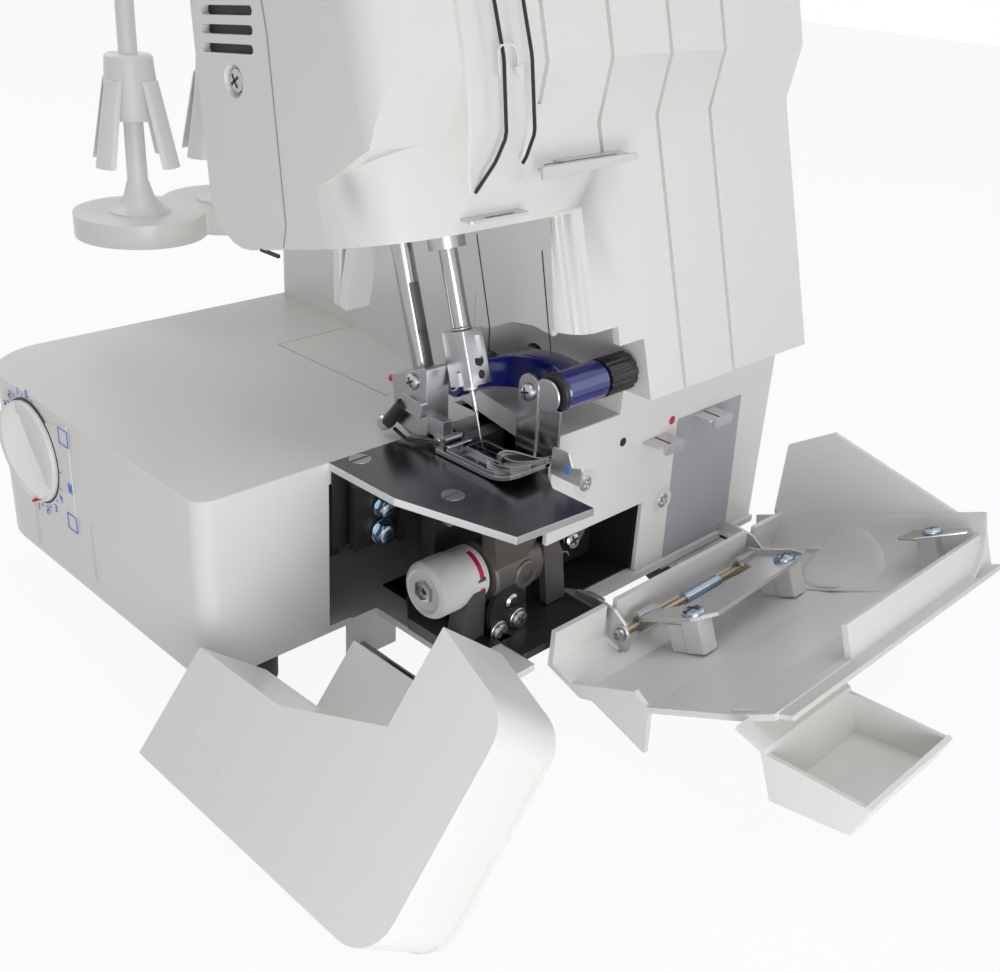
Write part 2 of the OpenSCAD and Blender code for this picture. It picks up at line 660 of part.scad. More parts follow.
// inside of the head's back wall at that height
carrier_back = head_corner.x + head_corner_r - wall - 0.1
  + (head_back - head_corner.x - head_corner_r) * (upper_z - head_corner.y) / (tower_top - head_corner.y);
module bar_carrier() color(steel_c) difference() {
  union() {
    at_needle() translate([0, 0, needle_bush_low]) cylinder(h = bush_high - needle_bush_low,
      d = bush_needle_d);
    at_presser() translate([0, 0, presser_bush_low]) cylinder(h = bush_high - presser_bush_low,
      d = bush_presser_d);
    box([presser_x - 9, bed_front + 4, upper_z], [needle_x + 9, carrier_back, upper_z + 7]);
    at_needle() translate([0, 0, upper_bush]) cylinder(h = 8, d = bush_needle_d + 1);
    // cheeks and pin of the presser foot lifter
    for (x = [presser_x - lever_w / 2 - 5, presser_x + lever_w / 2 + 2])
      box([x, lever_y - 6, lever_z - 5], [x + 3, lever_y + 6, upper_z]);
    rod_x(presser_x - lever_w / 2 - 3, presser_x + lever_w / 2 + 3, lever_y, lever_z, 4);
  }
  at_needle() translate([0, 0, 40]) cylinder(h = bar_top, d = needle_bar_d + 2 * run_gap);
  at_presser() translate([0, 0, 40]) cylinder(h = bar_top, d = presser_bar_d + 2 * run_gap);
}
module needle_bar() color(steel_c) at_needle() translate([0, 0, 30]) cylinder(h = bar_top - 30,
  d = needle_bar_d);
clamp_low = 26;
clamp_high = 47;
module needle_clamp() color(steel_c) at_needle() difference() {
  translate([-4.5, -5.5, clamp_low]) cube([9, 11, clamp_high - clamp_low]);
  translate([0, 0, 30]) cylinder(h = clamp_high, d = needle_bar_d);
  translate([0, 0, clamp_low - 1]) cylinder(h = 5.5, d = 2.1);
  translate([-1.2, -6, clamp_low - 1]) cube([2.4, 3, 8]);
}
module needle() color(steel_c) at_needle() {
  cylinder(h = 2, d1 = 0.2, d2 = 0.9);
  translate([0, 0, 2]) cylinder(h = 14, d = 0.9);
  translate([0, 0, 16]) cylinder(h = 14, d = 2.1);
}
holder_low = 9;
holder_high = 28;
pivot_y = bed_front - 20;
pivot_z = bed_top + 5.5;
module presser_bar() color(steel_c) at_presser() difference() {
  translate([0, 0, holder_low + 2]) cylinder(h = bar_top - 20, d = presser_bar_d);
  translate([-presser_bar_d, -presser_bar_d / 2 - 1, holder_high]) cube([2 * presser_bar_d, 1.8, 34]);
}
module foot_holder() color(steel_c) difference() {
  union() {
    at_presser() translate([-7, -5.6, holder_low]) cube([13, 11, holder_high - holder_low]);
    box([presser_x - 2, pivot_y - 3, pivot_z - 1], [presser_x + 2, pivot_y + 8, pivot_z + 9]);
    rod_x(presser_x - 4.4, presser_x + 4.4, pivot_y, pivot_z, 2.4);
  }
  at_presser() translate([0, 0, holder_low + 2]) cylinder(h = 40, d = presser_bar_d);
}
foot_z = bed_top + 0.4;
foot_t = 2;
foot_left = presser_x - 5.2;
foot_right = knife_left - 1.3;
foot_toe = bed_front - 59.7;
module presser_foot() color(steel_c) difference() {
  union() {
    box([foot_left, foot_toe + 4, foot_z], [foot_right, pivot_y, foot_z + foot_t]);
    box([foot_left, pivot_y - 1, foot_z + 1.8], [foot_right, bed_front - 8, foot_z + 3.4]);
    box([foot_left, pivot_y - 3, foot_z], [foot_right, pivot_y + 1, foot_z + 3.4]);
    translate([0, foot_toe + 4, foot_z]) rotate([-28, 0, 0]) mirror([0, 1, 0])
      translate([foot_left, 0, 0]) cube([foot_right - foot_left, 5.6, foot_t]);
    for (x = [presser_x - 4.6, presser_x + 2.4]) box([x, pivot_y - 4, foot_z + 1], [x + 2.2, pivot_y + 3,
      pivot_z + 3]);
  }
  rod_x(presser_x - 5, presser_x + 5, pivot_y, pivot_z, 2.4 + 2 * run_gap);
  box([needle_x - 2.6, needle_y - 12, foot_z - 1], [needle_x + 2.2, needle_y + 7, foot_z + 9]);
}
lever_l = 46;
module lifter_lever() color(white_c) along_x(presser_x - lever_w / 2, presser_x + lever_w / 2)
  translate([lever_y, lever_z]) difference() {
    union() {
      circle(6);
      rotate(12) translate([-3, -lever_l]) square([5, lever_l]);
    }
    circle(2 + run_gap);
  }

// ---------- upper knife ----------
module knife_shaft() color(steel_c) rod_x(needle_x + 4, pocket_right + wall + 12, knife_shaft_y,
  knife_shaft_z, spindle_d);
module knife_arm() color(blue_c) difference() {
  union() {
    rod_x(needle_x + 7, tube_right - 8, knife_shaft_y, knife_shaft_z, tube_d);
    rod_x(tube_left, tube_right, knife_front_y, knife_front_z, tube_d);
    box([tube_right - 14, knife_front_y, knife_front_z - 6],
      [tube_right, knife_shaft_y, knife_front_z + 5]);
  }
  rod_x(needle_x, tube_right, knife_shaft_y, knife_shaft_z, spindle_d);
  rod_x(tube_left - 1, tube_right + 1, knife_front_y, knife_front_z, spindle_d - 2 + 2 * run_gap);
}
module knife_knob() color(black_c) difference() {
  rod_x(tube_right + 0.8, tube_right + 0.8 + knob_l, knife_front_y, knife_front_z, tube_d + 0.8);
  for (a = [0:30:330]) translate([tube_right, knife_front_y, knife_front_z]) rotate([a, 0, 0])
    translate([0, tube_d / 2 + 0.9, 0]) rotate([0, 90, 0]) cylinder(h = knob_l + 3, d = 2);
}
strip_w = 10;
strip_y = knife_front_y + 10;
module upper_knife() color(steel_c) {
  rod_x(knife_left, tube_right + 0.8, knife_front_y, knife_front_z, spindle_d - 2);
  rod_x(knife_left, knife_left + knife_t + 1, knife_front_y, knife_front_z, tube_d);
  rod_x(knife_left, knife_left + knife_t, strip_y, knife_front_z, strip_w);
  box([knife_left, strip_y - strip_w / 2, bed_top - 2.5],
    [knife_left + knife_t, strip_y + strip_w / 2, knife_front_z]);
}

// ---------- loopers and feed dog ----------
// The blade's outline is given from the pivot
module looper(pivot, y, path) {
  rod_y(y - looper_t / 2, bed_front + 16, pivot.x, pivot.y, spindle_d);
  rod_y(y - looper_t / 2, y + looper_t / 2, pivot.x, pivot.y, 14);
  along_y(y - looper_t / 2, y + looper_t / 2) translate(pivot) polygon(path);
}
module upper_looper() color(steel_c) looper(upper_pivot, upper_looper_y,
  [[-4, 2], [3, 4], [-24, 36], [-46, 40], [-47, 38.5], [-27, 31]]);
module lower_looper() color(steel_c) looper(lower_pivot, lower_looper_y,
  [[-4, 2], [3, 4], [-8, 29], [-32, 35], [-33, 33.5], [-14, 25]]);
dog_top = bed_top - 0.7;
module feed_dog() color(steel_c) {
  for (x = dog_x) box([x - 1, dog_y - 9, plate_z - 7], [x + 1, dog_y + 7, dog_top]);
  box([dog_x[0] - 1, dog_y - 9, plate_z - 12], [dog_x[1] + 1, dog_y + 7, plate_z - 6]);
}

// ---------- looper cover ----------
ear_t = 2.5;
module hinge_ears() color(steel_c) difference() {
  for (e = [[ear_left, plate_y + 10], [ear_right - ear_t, plate_y]]) {
    rod_x(e[0], e[0] + ear_t, hinge_y, hinge_z, 10);
    box([e[0], hinge_y, hinge_z - 3], [e[0] + ear_t, tray_front, floor_z]);
    box([e[0], tray_front - 8, floor_z - 1], [e[0] + ear_t, tray_front, floor_z + 6]);
    box([e[0], tray_front - 1, floor_z], [e[0] + ear_t, e[1], floor_z + 6]);
  }
  rod_x(ear_left - 1, ear_right + 1, hinge_y, hinge_z, rod_d);
}
module hinge_rod() color(steel_c) {
  rod_x(ear_left - 2, ear_right + 2, hinge_y, hinge_z, rod_d);
  rod_x(ear_left - 3.5, ear_left - 2, hinge_y, hinge_z, 6);
}
skin = 2.4;
lip_low = [hinge_y + 13.1, hinge_z - 5.4];
cover_path = [lip_low, [hinge_y - 2, hinge_z - 12.4], [cover_face, hinge_z + 1.6], [cover_face - 2, seam_z],
  [cover_face, bed_top + 2.5], [cover_face + 2.2, cover_top]];
guard_left = -28.8;
guard_right = 25.8;
guard_path = [[cover_face + 0.6, bed_top + 6], [cover_face - 6.3, cover_top - 3.8], [cover_face - 24,
  cover_top - 4.2],
  [cover_face - 30.9, cover_top + 24.6], [cover_face - 20.6, cover_top + 34.2]];
module looper_cover() color(white_c) looper_rest() difference() {
  union() {
    along_x(cover_left, cover_right) polygon(reversed(strip(cover_path, -skin)));
    along_x(guard_right + 1, cover_right) polygon([[cover_face + 2.2, cover_top - 3], [cover_face + 17.7,
      cover_top - 1.8],
      [cover_face + 17.7, cover_top + 0.6], [cover_face + 2.2, cover_top]]);
    along_x(guard_left, guard_right) polygon(reversed(strip(guard_path, -2)));
    for (x = [guard_left, guard_right - 2]) along_x(x, x + 2)
      polygon([for (i = [1:4]) guard_path[i]]);
    along_x(cover_right - skin, cover_right) polygon([[cover_face + 2.2, cover_top - 1], [cover_face - 1,
      bed_top],
      [cover_face - 1, hinge_z + 1.6], [lip_low.x, lip_low.y - 3], [hinge_y + 45, hinge_z + 6.6],
      [hinge_y + 49, hinge_z + 31], [cover_face + 17.7, cover_top]]);
    along_x(cover_left, cover_left + skin) polygon([[cover_face + 1, hinge_z + 2], [hinge_y - 8.6,
      hinge_z - 4.6],
      [cover_face + 6, hinge_z + 31], [cover_face - 1, seam_z]]);
    along_x(cover_left, cover_left + skin) polygon([[cover_face + 1, hinge_z + 6], [cover_face - 1, seam_z],
      [cover_face - 19, hinge_z + 29]]);
  }
  for (x = [ear_left, ear_right - ear_t]) box([x - 2, hinge_y - 8, hinge_z - 16], [x + ear_t + 2,
    hinge_y + 20, hinge_z + 2]);
}
arm_x = [ear_left + 4, ear_right - 6.5];
module cover_brackets() color(steel_c) looper_rest() difference() {
  for (x = arm_x) {
    rod_x(x, x + 2.4, hinge_y, hinge_z, 9);
    along_x(x, x + 2.4) polygon([[hinge_y - 2, hinge_z - 3.5], [hinge_y + 2, hinge_z + 4], [hinge_y - 6,
      seam_z - 4],
      [cover_face + 1.6, seam_z - 2], [cover_face + 2.4, hinge_z + 6]]);
  }
  rod_x(ear_left, ear_right, hinge_y, hinge_z, rod_d + 2 * run_gap);
  along_x(cover_left, cover_right) polygon(reversed(strip(cover_path, -skin)));
}
module cover_screws() color(steel_c) looper_rest() for (x = arm_x) {
  rod_y(hinge_y - 9, hinge_y - 6, x + 7, seam_z - 12, screw_d);
  rod_y(cover_face + 2, hinge_y - 9, x + 7, seam_z - 12, 4);
}

// ---------- side cover ----------
fillet = 14;
notch_a = [front_wall_right - 3.7, side_back];
notch_b = [front_wall_right - 2.7, bed_front - 45.6];
notch_c = [front_wall_right + 12.3, bed_front - 87.8];
side_plan = concat([[side_left, side_back]],
  arc([side_left + fillet, side_front + fillet], fillet, 180, 270),
  arc([side_right - 8 - fillet, side_front + fillet], fillet, 270, 360 - 12),
  [[side_right, notch_c.y], notch_c, notch_b, notch_a]);
side_roof = 2.5;
arm_eyes = [side_back - 32, side_back - 47.5];
module side_cover() color(white_c) side_rest() difference() {
  union() {
    difference() {
      translate([0, 0, side_floor_z]) linear_extrude(side_h) polygon(side_plan);
      translate([0, 0, side_floor_z - 1]) linear_extrude(side_h - side_roof + 1) polygon(inset(side_plan,
        wall));
    }
    box([side_left + 1, side_front + fillet, side_floor_z], [pin_x + 8, bed_front - 32, side_floor_z + 2]);
    box([side_left + fillet, side_front + 1, side_floor_z], [pin_x + 8, side_front + fillet + 1,
      side_floor_z + 2]);
    for (y = arm_eyes) {
      box([pin_x - 7, y - eye_t, pin_z], [pin_x + 2, y, side_floor_z + 1]);
      rod_y(y - eye_t, y, pin_x, pin_z, 12);
    }
  }
  rod_y(side_front, side_back + 1, pin_x, pin_z, pin_d + 2 * run_gap);
}
module side_hinge_pin() color(steel_c) {
  rod_y(lug_front_y - 13, bed_front + 2, pin_x, pin_z, pin_d);
}

// ---------- dials and knobs ----------
plate_r = 23;
module dial_plate() color(white_c) difference() {
  rod_x(bed_left - 1, bed_left, dial_y, dial_z, 2 * plate_r);
  rod_x(bed_left - 2, bed_left + 1, dial_y, dial_z, dial_stem_d + 2 * run_gap);
}
module stitch_dial() color(white_c) {
  rod_x(bed_left - 3.4, bed_left - 1.4, dial_y, dial_z, 36);
  rod_x(bed_left - 9, bed_left - 3, dial_y, dial_z, 32);
  box([bed_left - 13, dial_y - 3, dial_z - 15], [bed_left - 8, dial_y + 3, dial_z + 15]);
  rod_x(bed_left - 2, bed_left + 12, dial_y, dial_z, dial_stem_d);
}
module length_knob() color(white_c) {
  difference() {
    rod_x(length_knob_right - length_knob_l, length_knob_right, barrel_y, barrel_z, length_knob_d);
    rod_x(length_knob_right - length_knob_l - 1, length_knob_right - length_knob_l + 1.5, barrel_y,
      barrel_z, 15);
    for (a = [0:15:345]) translate([length_knob_right, barrel_y, barrel_z]) rotate([a, 0, 0])
      translate([-length_knob_l - 1, length_knob_d / 2 + 0.5, 0]) rotate([0, 90, 0]) cylinder(h = 15,
        d = 1.8);
  }
  rod_x(length_knob_right - 1, casting_left + 12, barrel_y, barrel_z, dial_stem_d);
}
module tension_dial(i) color(white_c) {
  x = channel_x0 + channel_pitch * (i - 0.5);
  difference() {
    rod_x(x - 4, x + 4, tension_y, tension_z, dial_d);
    rod_x(x - 5, x + 5, tension_y, tension_z, axle_d + 2 * run_gap);
    for (a = [0:20:340]) translate([x - 5, tension_y, tension_z]) rotate([a, 0, 0])
      translate([0, dial_d / 2 + 0.6, 0]) rotate([0, 90, 0]) cylinder(h = 10, d = 2.4);
  }
}
module tension_dial_1() tension_dial(1);
module tension_dial_2() tension_dial(2);
module tension_dial_3() tension_dial(3);
module tension_dial_4() tension_dial(4);
axle_d = 4;
module dial_axle() color(steel_c) rod_x(tower_left_front + panel_t, bed_right - wall, tension_y,
  tension_z, axle_d);

guide_z = head_bottom + 35;
module guide_bar() color(steel_c) {
  translate([0, panel_low_y + (guide_z - panel_low_z) * slope, guide_z]) {
    translate([tower_left_front, -9, 0]) cube([35, 9, 1.2]);
    translate([tower_left_front - 14, -9, 0]) cube([49, 2.6, 1.2]);
    translate([tower_left_front - 14, -9, 0]) cube([49, 1.2, 4]);
  }
}
module thread_guides() color(steel_c) {
  translate([0, plate_y, 0]) for (p = [[53, bed_top - 15.5], [80, bed_top - 11.5]])
    translate([p.x, -9, p.y]) cube([11, 9, 1.2]);
}

// ---------- spool stand ----------
lobe_r = 31;
spool_spots = [for (i = [0:3]) [spool_x0 + i * spool_pitch, spool_y]];
pin_low = spool_z + spool_t;
module spool_base() color(white_c) difference() {
  union() {
    for (p = spool_spots) translate([p.x, p.y, spool_z]) cylinder(h = spool_t, d = 2 * lobe_r);
    box([spool_x0, spool_y - 20, spool_z], [spool_x0 + 3 * spool_pitch, spool_y + 20, pin_low]);
    box([tower_left_back + 4, bed_back, spool_z], [bed_right - 6, spool_y, pin_low]);
    box([tower_left_back + 8, bed_back, spool_z - 16], [bed_right - 12, bed_back + 6, spool_z]);
  }
  for (p = spool_spots) translate([p.x, p.y, spool_z + 3]) cylinder(h = spool_t, d = 7);
  translate([pole_x, pole_y, spool_z + 3]) cylinder(h = spool_t, d = pole_d);
}
module spool_pins() color(white_c) for (p = spool_spots) translate([p.x, p.y, 0]) {
  translate([0, 0, spool_z + 3]) cylinder(h = 110, d = 7);
  translate([0, 0, pin_low]) cylinder(h = 4, d = 30);
  translate([0, 0, pin_low + 4]) cylinder(h = 8, d1 = 22, d2 = 12);
}
holder_z = pin_low + 21;
module cone_holders() color(white_c) for (p = spool_spots) translate([p.x, p.y, holder_z]) difference() {
  union() {
    translate([0, 0, 38]) cylinder(h = 22, d1 = 24, d2 = 14);
    for (a = [45:90:315]) rotate([0, 0, a]) translate([18, -5, 0]) rotate([0, -14, 0]) cube([3, 10, 44]);
  }
  translate([0, 0, -1]) cylinder(h = 70, d = 7);
  translate([0, 0, 36]) cylinder(h = 14, d1 = 20, d2 = 8);
}
module pole_lower() color(steel_c) translate([pole_x, pole_y, spool_z + 3]) difference() {
  cylinder(h = pole_top - spool_z - 3, d = pole_d);
  translate([0, 0, 1]) cylinder(h = pole_top, d = 8 + 2 * run_gap);
}
pole_low = spool_z + 6;
stand_z = tower_top + 30;
module pole_upper() color(steel_c) {
  translate([pole_x, pole_y, pole_low]) cylinder(h = stand_z - pole_low, d = 8);
  box([spool_x0 - 4, pole_y - 4, stand_z - 1], [spool_x0 + 3 * spool_pitch + 4, pole_y + 4, stand_z + 2]);
  for (p = spool_spots) translate([p.x, pole_y + 4, stand_z - 1]) difference() {
    cylinder(h = 3, d = 16);
    translate([0, 0, -1]) cylinder(h = 5, d = 11);
  }
}

// ---------- electrics ----------
inlet_y = bed_front + 92;
inlet_z = base_z + 17;
module inlet_hole() box([bed_right - wall - 1, inlet_y, inlet_z - 11], [bed_right + 1, inlet_y + 62,
  inlet_z + 11]);
module power_inlet() color(black_c) difference() {
  union() {
    box([bed_right - wall, inlet_y, inlet_z - 11], [bed_right, inlet_y + 62, inlet_z + 11]);
    box([bed_right, inlet_y - 2, inlet_z - 13], [bed_right + 1.4, inlet_y + 64, inlet_z + 13]);
    box([bed_right - 22, inlet_y + 1, inlet_z - 10], [bed_right - wall, inlet_y + 61, inlet_z + 10]);
  }
  box([bed_right - 14, inlet_y + 5, inlet_z - 7], [bed_right + 2, inlet_y + 29, inlet_z + 7]);
  box([bed_right - 14, rocker_y - 11, inlet_z - 7], [bed_right + 2, rocker_y + 11, inlet_z + 7]);
}
rocker_y = inlet_y + 46;
module power_switch() color(black_c) difference() {
  union() {
    translate([bed_right - 3, rocker_y, inlet_z]) rotate([0, 0, 6]) translate([-1, -9.5, -6.4])
      cube([5.4, 19, 12.8]);
    translate([bed_right - 3, rocker_y, inlet_z - 6.4]) cylinder(h = 12.8, d = 8);
  }
}

base_tray();
rubber_feet();
bed_cover();
column_shell();
arm_shell();
end_cap();
front_plate();
tension_panel();
guide_capsule();
needle_plate();
plate_screws();
looper_frame();
frame_bracket();
frame_screws();
shaft_bushes();
motor();
bar_carrier();
lower_knife();
thread_guides();
spool_base();
spool_pins();
pole_lower();
power_inlet();
hinge_ears();
hinge_rod();
drive_belt();
dial_plate();
dial_axle();
side_hinge_pin();
main_shaft();
handwheel();
motor_pulley();
needle_bar();
needle_clamp();
needle();
presser_bar();
foot_holder();
presser_foot();
lifter_lever();
knife_arm();
knife_shaft();
knife_knob();
upper_knife();
upper_looper();
lower_looper();
feed_dog();
looper_cover();
cover_brackets();
cover_screws();
side_cover();
stitch_dial();
length_knob();
tension_dial_1();
tension_dial_2();
tension_dial_3();
tension_dial_4();
pole_upper();
guide_bar();
power_switch();
cone_holders();
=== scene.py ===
import json
import math

import bmesh
import bpy
from mathutils import Matrix, Vector


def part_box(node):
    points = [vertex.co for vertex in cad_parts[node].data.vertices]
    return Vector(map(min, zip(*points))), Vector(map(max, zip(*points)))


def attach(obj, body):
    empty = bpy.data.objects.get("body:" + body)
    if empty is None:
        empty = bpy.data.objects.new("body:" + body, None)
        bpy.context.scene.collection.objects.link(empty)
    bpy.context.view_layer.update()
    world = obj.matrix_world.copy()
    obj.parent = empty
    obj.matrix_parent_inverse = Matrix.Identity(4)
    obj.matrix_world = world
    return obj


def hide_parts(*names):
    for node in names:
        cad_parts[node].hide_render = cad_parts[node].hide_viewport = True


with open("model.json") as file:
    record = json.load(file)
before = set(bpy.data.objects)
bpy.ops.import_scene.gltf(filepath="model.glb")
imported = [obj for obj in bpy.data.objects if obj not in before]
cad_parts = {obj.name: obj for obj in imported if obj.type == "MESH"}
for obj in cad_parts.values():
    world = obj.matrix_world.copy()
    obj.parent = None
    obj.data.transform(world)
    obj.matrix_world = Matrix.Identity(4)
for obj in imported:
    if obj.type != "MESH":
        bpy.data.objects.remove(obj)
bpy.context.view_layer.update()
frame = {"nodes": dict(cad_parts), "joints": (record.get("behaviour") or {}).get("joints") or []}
N = frame["nodes"]
JOIN = 1e-5  # points nearer than this are one point, in metres
SHARP, SHELL_SHARP = 32, 26  # edges that turn by more than this many degrees are sharp


# ---------- camera, fitted to the photograph's straight edges ----------
LENS_MM, SENSOR_MM = 43.12, 36
CAMERA_AT = (-0.3216, -0.3781, 0.2906)
RIGHT = Vector((0.70853283, -0.70345407, 0.05597851))
DOWN = Vector((-0.27710719, -0.35030548, -0.89470535))
AHEAD = Vector((0.64899371, 0.61841607, -0.44313512))


def camera():
    data = bpy.data.cameras.new("camera")
    data.lens, data.sensor_width = LENS_MM, SENSOR_MM
    data.clip_start, data.clip_end = 0.01, 20
    cam = bpy.data.objects.new("camera", data)
    cam.matrix_world = Matrix.Translation(CAMERA_AT) @ Matrix((RIGHT, -DOWN, -AHEAD)).transposed().to_4x4()
    bpy.context.scene.collection.objects.link(cam)
    bpy.context.scene.camera = cam


camera()


# ---------- materials ----------
BLOTCH_SCALE, ROUGH_SPREAD = 18.0, 0.06  # slow unevenness of colour and roughness
GRAIN_DEPTH = 0.0002  # height of the fine grain, in metres
COAT_ROUGH = 0.12


def nodes_of(mat):
    """A material's nodes, its links and its main shader."""
    mat.use_nodes = True
    return mat.node_tree.nodes, mat.node_tree.links, mat.node_tree.nodes["Principled BSDF"]


def material(name, color, rough=0.4, metal=0.0, coat=0.0, bump=0.0, bump_scale=400.0, vary=0.03):
    """A surface with a slight unevenness of colour, roughness and height, all from noise."""
    mat = bpy.data.materials.new(name)
    n, l, b = nodes_of(mat)
    b.inputs["Metallic"].default_value = metal
    b.inputs["Coat Weight"].default_value = coat
    b.inputs["Coat Roughness"].default_value = COAT_ROUGH
    pos = n.new("ShaderNodeTexCoord")
    noise = n.new("ShaderNodeTexNoise")
    noise.inputs["Scale"].default_value = BLOTCH_SCALE
    noise.inputs["Detail"].default_value = 6
    l.new(pos.outputs["Object"], noise.inputs["Vector"])
    tint = n.new("ShaderNodeMix")
    tint.data_type = "RGBA"
    tint.inputs[6].default_value = (*[c * (1 - vary) for c in color], 1)
    tint.inputs[7].default_value = (*[min(1, c * (1 + vary)) for c in color], 1)
    l.new(noise.outputs["Fac"], tint.inputs[0])
    l.new(tint.outputs[2], b.inputs["Base Color"])
    spread = n.new("ShaderNodeMapRange")
    spread.inputs["To Min"].default_value = max(0.02, rough - ROUGH_SPREAD)
    spread.inputs["To Max"].default_value = min(1, rough + ROUGH_SPREAD)
    l.new(noise.outputs["Fac"], spread.inputs["Value"])
    l.new(spread.outputs["Result"], b.inputs["Roughness"])
    if bump:
        fine = n.new("ShaderNodeTexNoise")
        fine.inputs["Scale"].default_value = bump_scale
        fine.inputs["Detail"].default_value = 3
        l.new(pos.outputs["Object"], fine.inputs["Vector"])
        bp = n.new("ShaderNodeBump")
        bp.inputs["Strength"].default_value = bump
        bp.inputs["Distance"].default_value = GRAIN_DEPTH
        l.new(fine.outputs["Fac"], bp.inputs["Height"])
        l.new(bp.outputs["Normal"], b.inputs["Normal"])
    return mat


# short name: the material itself
M = {
    "white": material("white_plastic", (0.80, 0.79, 0.775), 0.30, bump=0.05, bump_scale=900, vary=0.008),
    "inner": material("white_plastic_inside", (0.72, 0.71, 0.70), 0.5, bump=0.08, vary=0.012),
    "inner_seam": material("seam_grey", (0.30, 0.30, 0.30), 0.6, vary=0.02),
    "knob": material("white_knob", (0.84, 0.84, 0.83), 0.36, bump=0.04, vary=0.008),
    "plate": material("polished_plate", (0.17, 0.17, 0.185), 0.26, metal=1.0, bump=0.04, bump_scale=1500),
    "steel": material("bright_steel", (0.40, 0.40, 0.41), 0.2, metal=1.0, bump=0.02),
    "zinc": material("zinc", (0.45, 0.455, 0.47), 0.3, metal=1.0, bump=0.05),
    "blue_zinc": material("blue_zinc", (0.36, 0.45, 0.54), 0.22, metal=1.0),
    "yellow_zinc": material("yellow_zinc", (0.36, 0.31, 0.21), 0.28, metal=1.0),
    "cast": material("cast_aluminium", (0.13, 0.122, 0.115), 0.5, metal=0.6, bump=0.35, bump_scale=700,
                     vary=0.12),
    "blue": material("blue_paint", (0.006, 0.014, 0.17), 0.16, coat=0.6, vary=0.05),
    # black: real black parts, and painted shade in the hollows under the needle plate
    "black": material("black_plastic", (0.012, 0.012, 0.013), 0.42, bump=0.1),
    # dark: real dark steel parts, and painted shade in grooves, slots, behind the vents and in screw crosses
    "dark": material("dark_steel_and_painted_shade", (0.022, 0.022, 0.024), 0.45, metal=0.3, vary=0.1),
    "rubber": material("rubber", (0.02, 0.02, 0.02), 0.7, bump=0.2),
    "red": material("red_mark", (0.55, 0.01, 0.06), 0.4),
    "sheet": material("satin_sheet", (0.62, 0.62, 0.63), 0.42, metal=0.85, bump=0.05),
    # bright: painted highlight on the needle plate's rim
    "bright": material("rim_painted_highlight", (0.74, 0.74, 0.76), 0.25, metal=1.0),
    "grey": material("diagram_grey", (0.40, 0.41, 0.45), 0.35, vary=0.02),
    "tick": material("blue_mark", (0.10, 0.22, 0.62), 0.45),
}
# material: the CAD nodes that show it
LOOK = {
    "white": "base_tray bed_cover column_shell arm_shell end_cap front_plate tension_panel guide_capsule "
             "looper_cover side_cover spool_base lifter_lever dial_plate",
    "knob": "stitch_dial length_knob tension_dial_1 tension_dial_2 tension_dial_3 tension_dial_4 "
            "handwheel spool_pins cone_holders",
    "plate": "needle_plate",
    "steel": "presser_foot upper_knife lower_knife needle_bar presser_bar needle main_shaft knife_shaft "
             "feed_dog upper_looper lower_looper motor_pulley dial_axle side_hinge_pin pole_lower pole_upper",
    "zinc": "plate_screws frame_screws cover_screws cover_brackets hinge_ears hinge_rod guide_bar "
            "thread_guides needle_clamp foot_holder bar_carrier",
    "cast": "looper_frame shaft_bushes",
    "blue": "knife_arm",
    "black": "knife_knob power_inlet power_switch frame_bracket motor",
    "rubber": "rubber_feet drive_belt",
}


def paint(obj, *names):
    """Gives obj these materials, in this order."""
    if obj.data.materials:
        obj.data.materials.clear()
    for name in names:
        obj.data.materials.append(M[name])


for look, listed in LOOK.items():
    for name in listed.split():
        paint(N[name], look)
# rounding of the CAD nodes' edges, in mm
PLAIN_EDGE = 0.25
EDGE = {"base_tray": 1.0, "column_shell": 2.5, "front_plate": 0.6, "looper_cover": 0.6,
        "spool_base": 4.0, "lifter_lever": 1.6, "looper_frame": 1.0, "handwheel": 1.0}
for name, obj in N.items():
    weld = obj.modifiers.new("weld", "WELD")
    weld.merge_threshold = JOIN
    bevel = obj.modifiers.new("bevel", "BEVEL")
    bevel.width = EDGE.get(name, PLAIN_EDGE) / 1000
    bevel.segments = 3
    bevel.limit_method = "ANGLE"
    bevel.angle_limit = math.radians(SHARP)
    bevel.harden_normals = True


# ---------- modelling kit, all in millimetres ----------
AXES = {"x": lambda u, v, w: (w, u, v), "y": lambda u, v, w: (u, w, v), "z": lambda u, v, w: (u, v, w)}


def arc(cx, cy, r, a0, a1, n=8):
    """Points on a circle from a0 to a1 degrees."""
    return [(cx + r * math.cos(math.radians(a0 + (a1 - a0) * i / n)),
             cy + r * math.sin(math.radians(a0 + (a1 - a0) * i / n))) for i in range(n + 1)]


def rounded(pts, radii, n=6):
    """The outline pts with its corners rounded; radii is one number or one for each corner."""
    out, count = [], len(pts)
    for i, p in enumerate(pts):
        r = radii[i] if isinstance(radii, (list, tuple)) else radii
        a, b, c = (Vector((*pts[i - 1], 0)), Vector((*p, 0)), Vector((*pts[(i + 1) % count], 0)))
        u, v = (a - b), (c - b)
        if r <= 0 or u.length < 1e-6 or v.length < 1e-6:
            out.append(p)
            continue
        u.normalize(), v.normalize()
        half = u.angle(v) / 2
        t = r / math.tan(half)
        s, e = b + u * t, b + v * t
        centre = b + (u + v).normalized() * (r / math.sin(half))
        s0, e0 = s - centre, e - centre
        for k in range(n + 1):
            q = centre + s0.slerp(e0, k / n) if s0.angle(e0) > 1e-4 else s
            out.append((q.x, q.y))
    return out


def cut(obj, tool):
    """Takes tool out of obj, and removes tool."""
    b = obj.modifiers.new("cut", "BOOLEAN")
    b.operation, b.object, b.solver = "DIFFERENCE", tool, "EXACT"
    bpy.context.view_layer.update()
    obj.data = bpy.data.meshes.new_from_object(obj.evaluated_get(bpy.context.evaluated_depsgraph_get()))
    obj.modifiers.clear()
    bpy.data.objects.remove(tool)


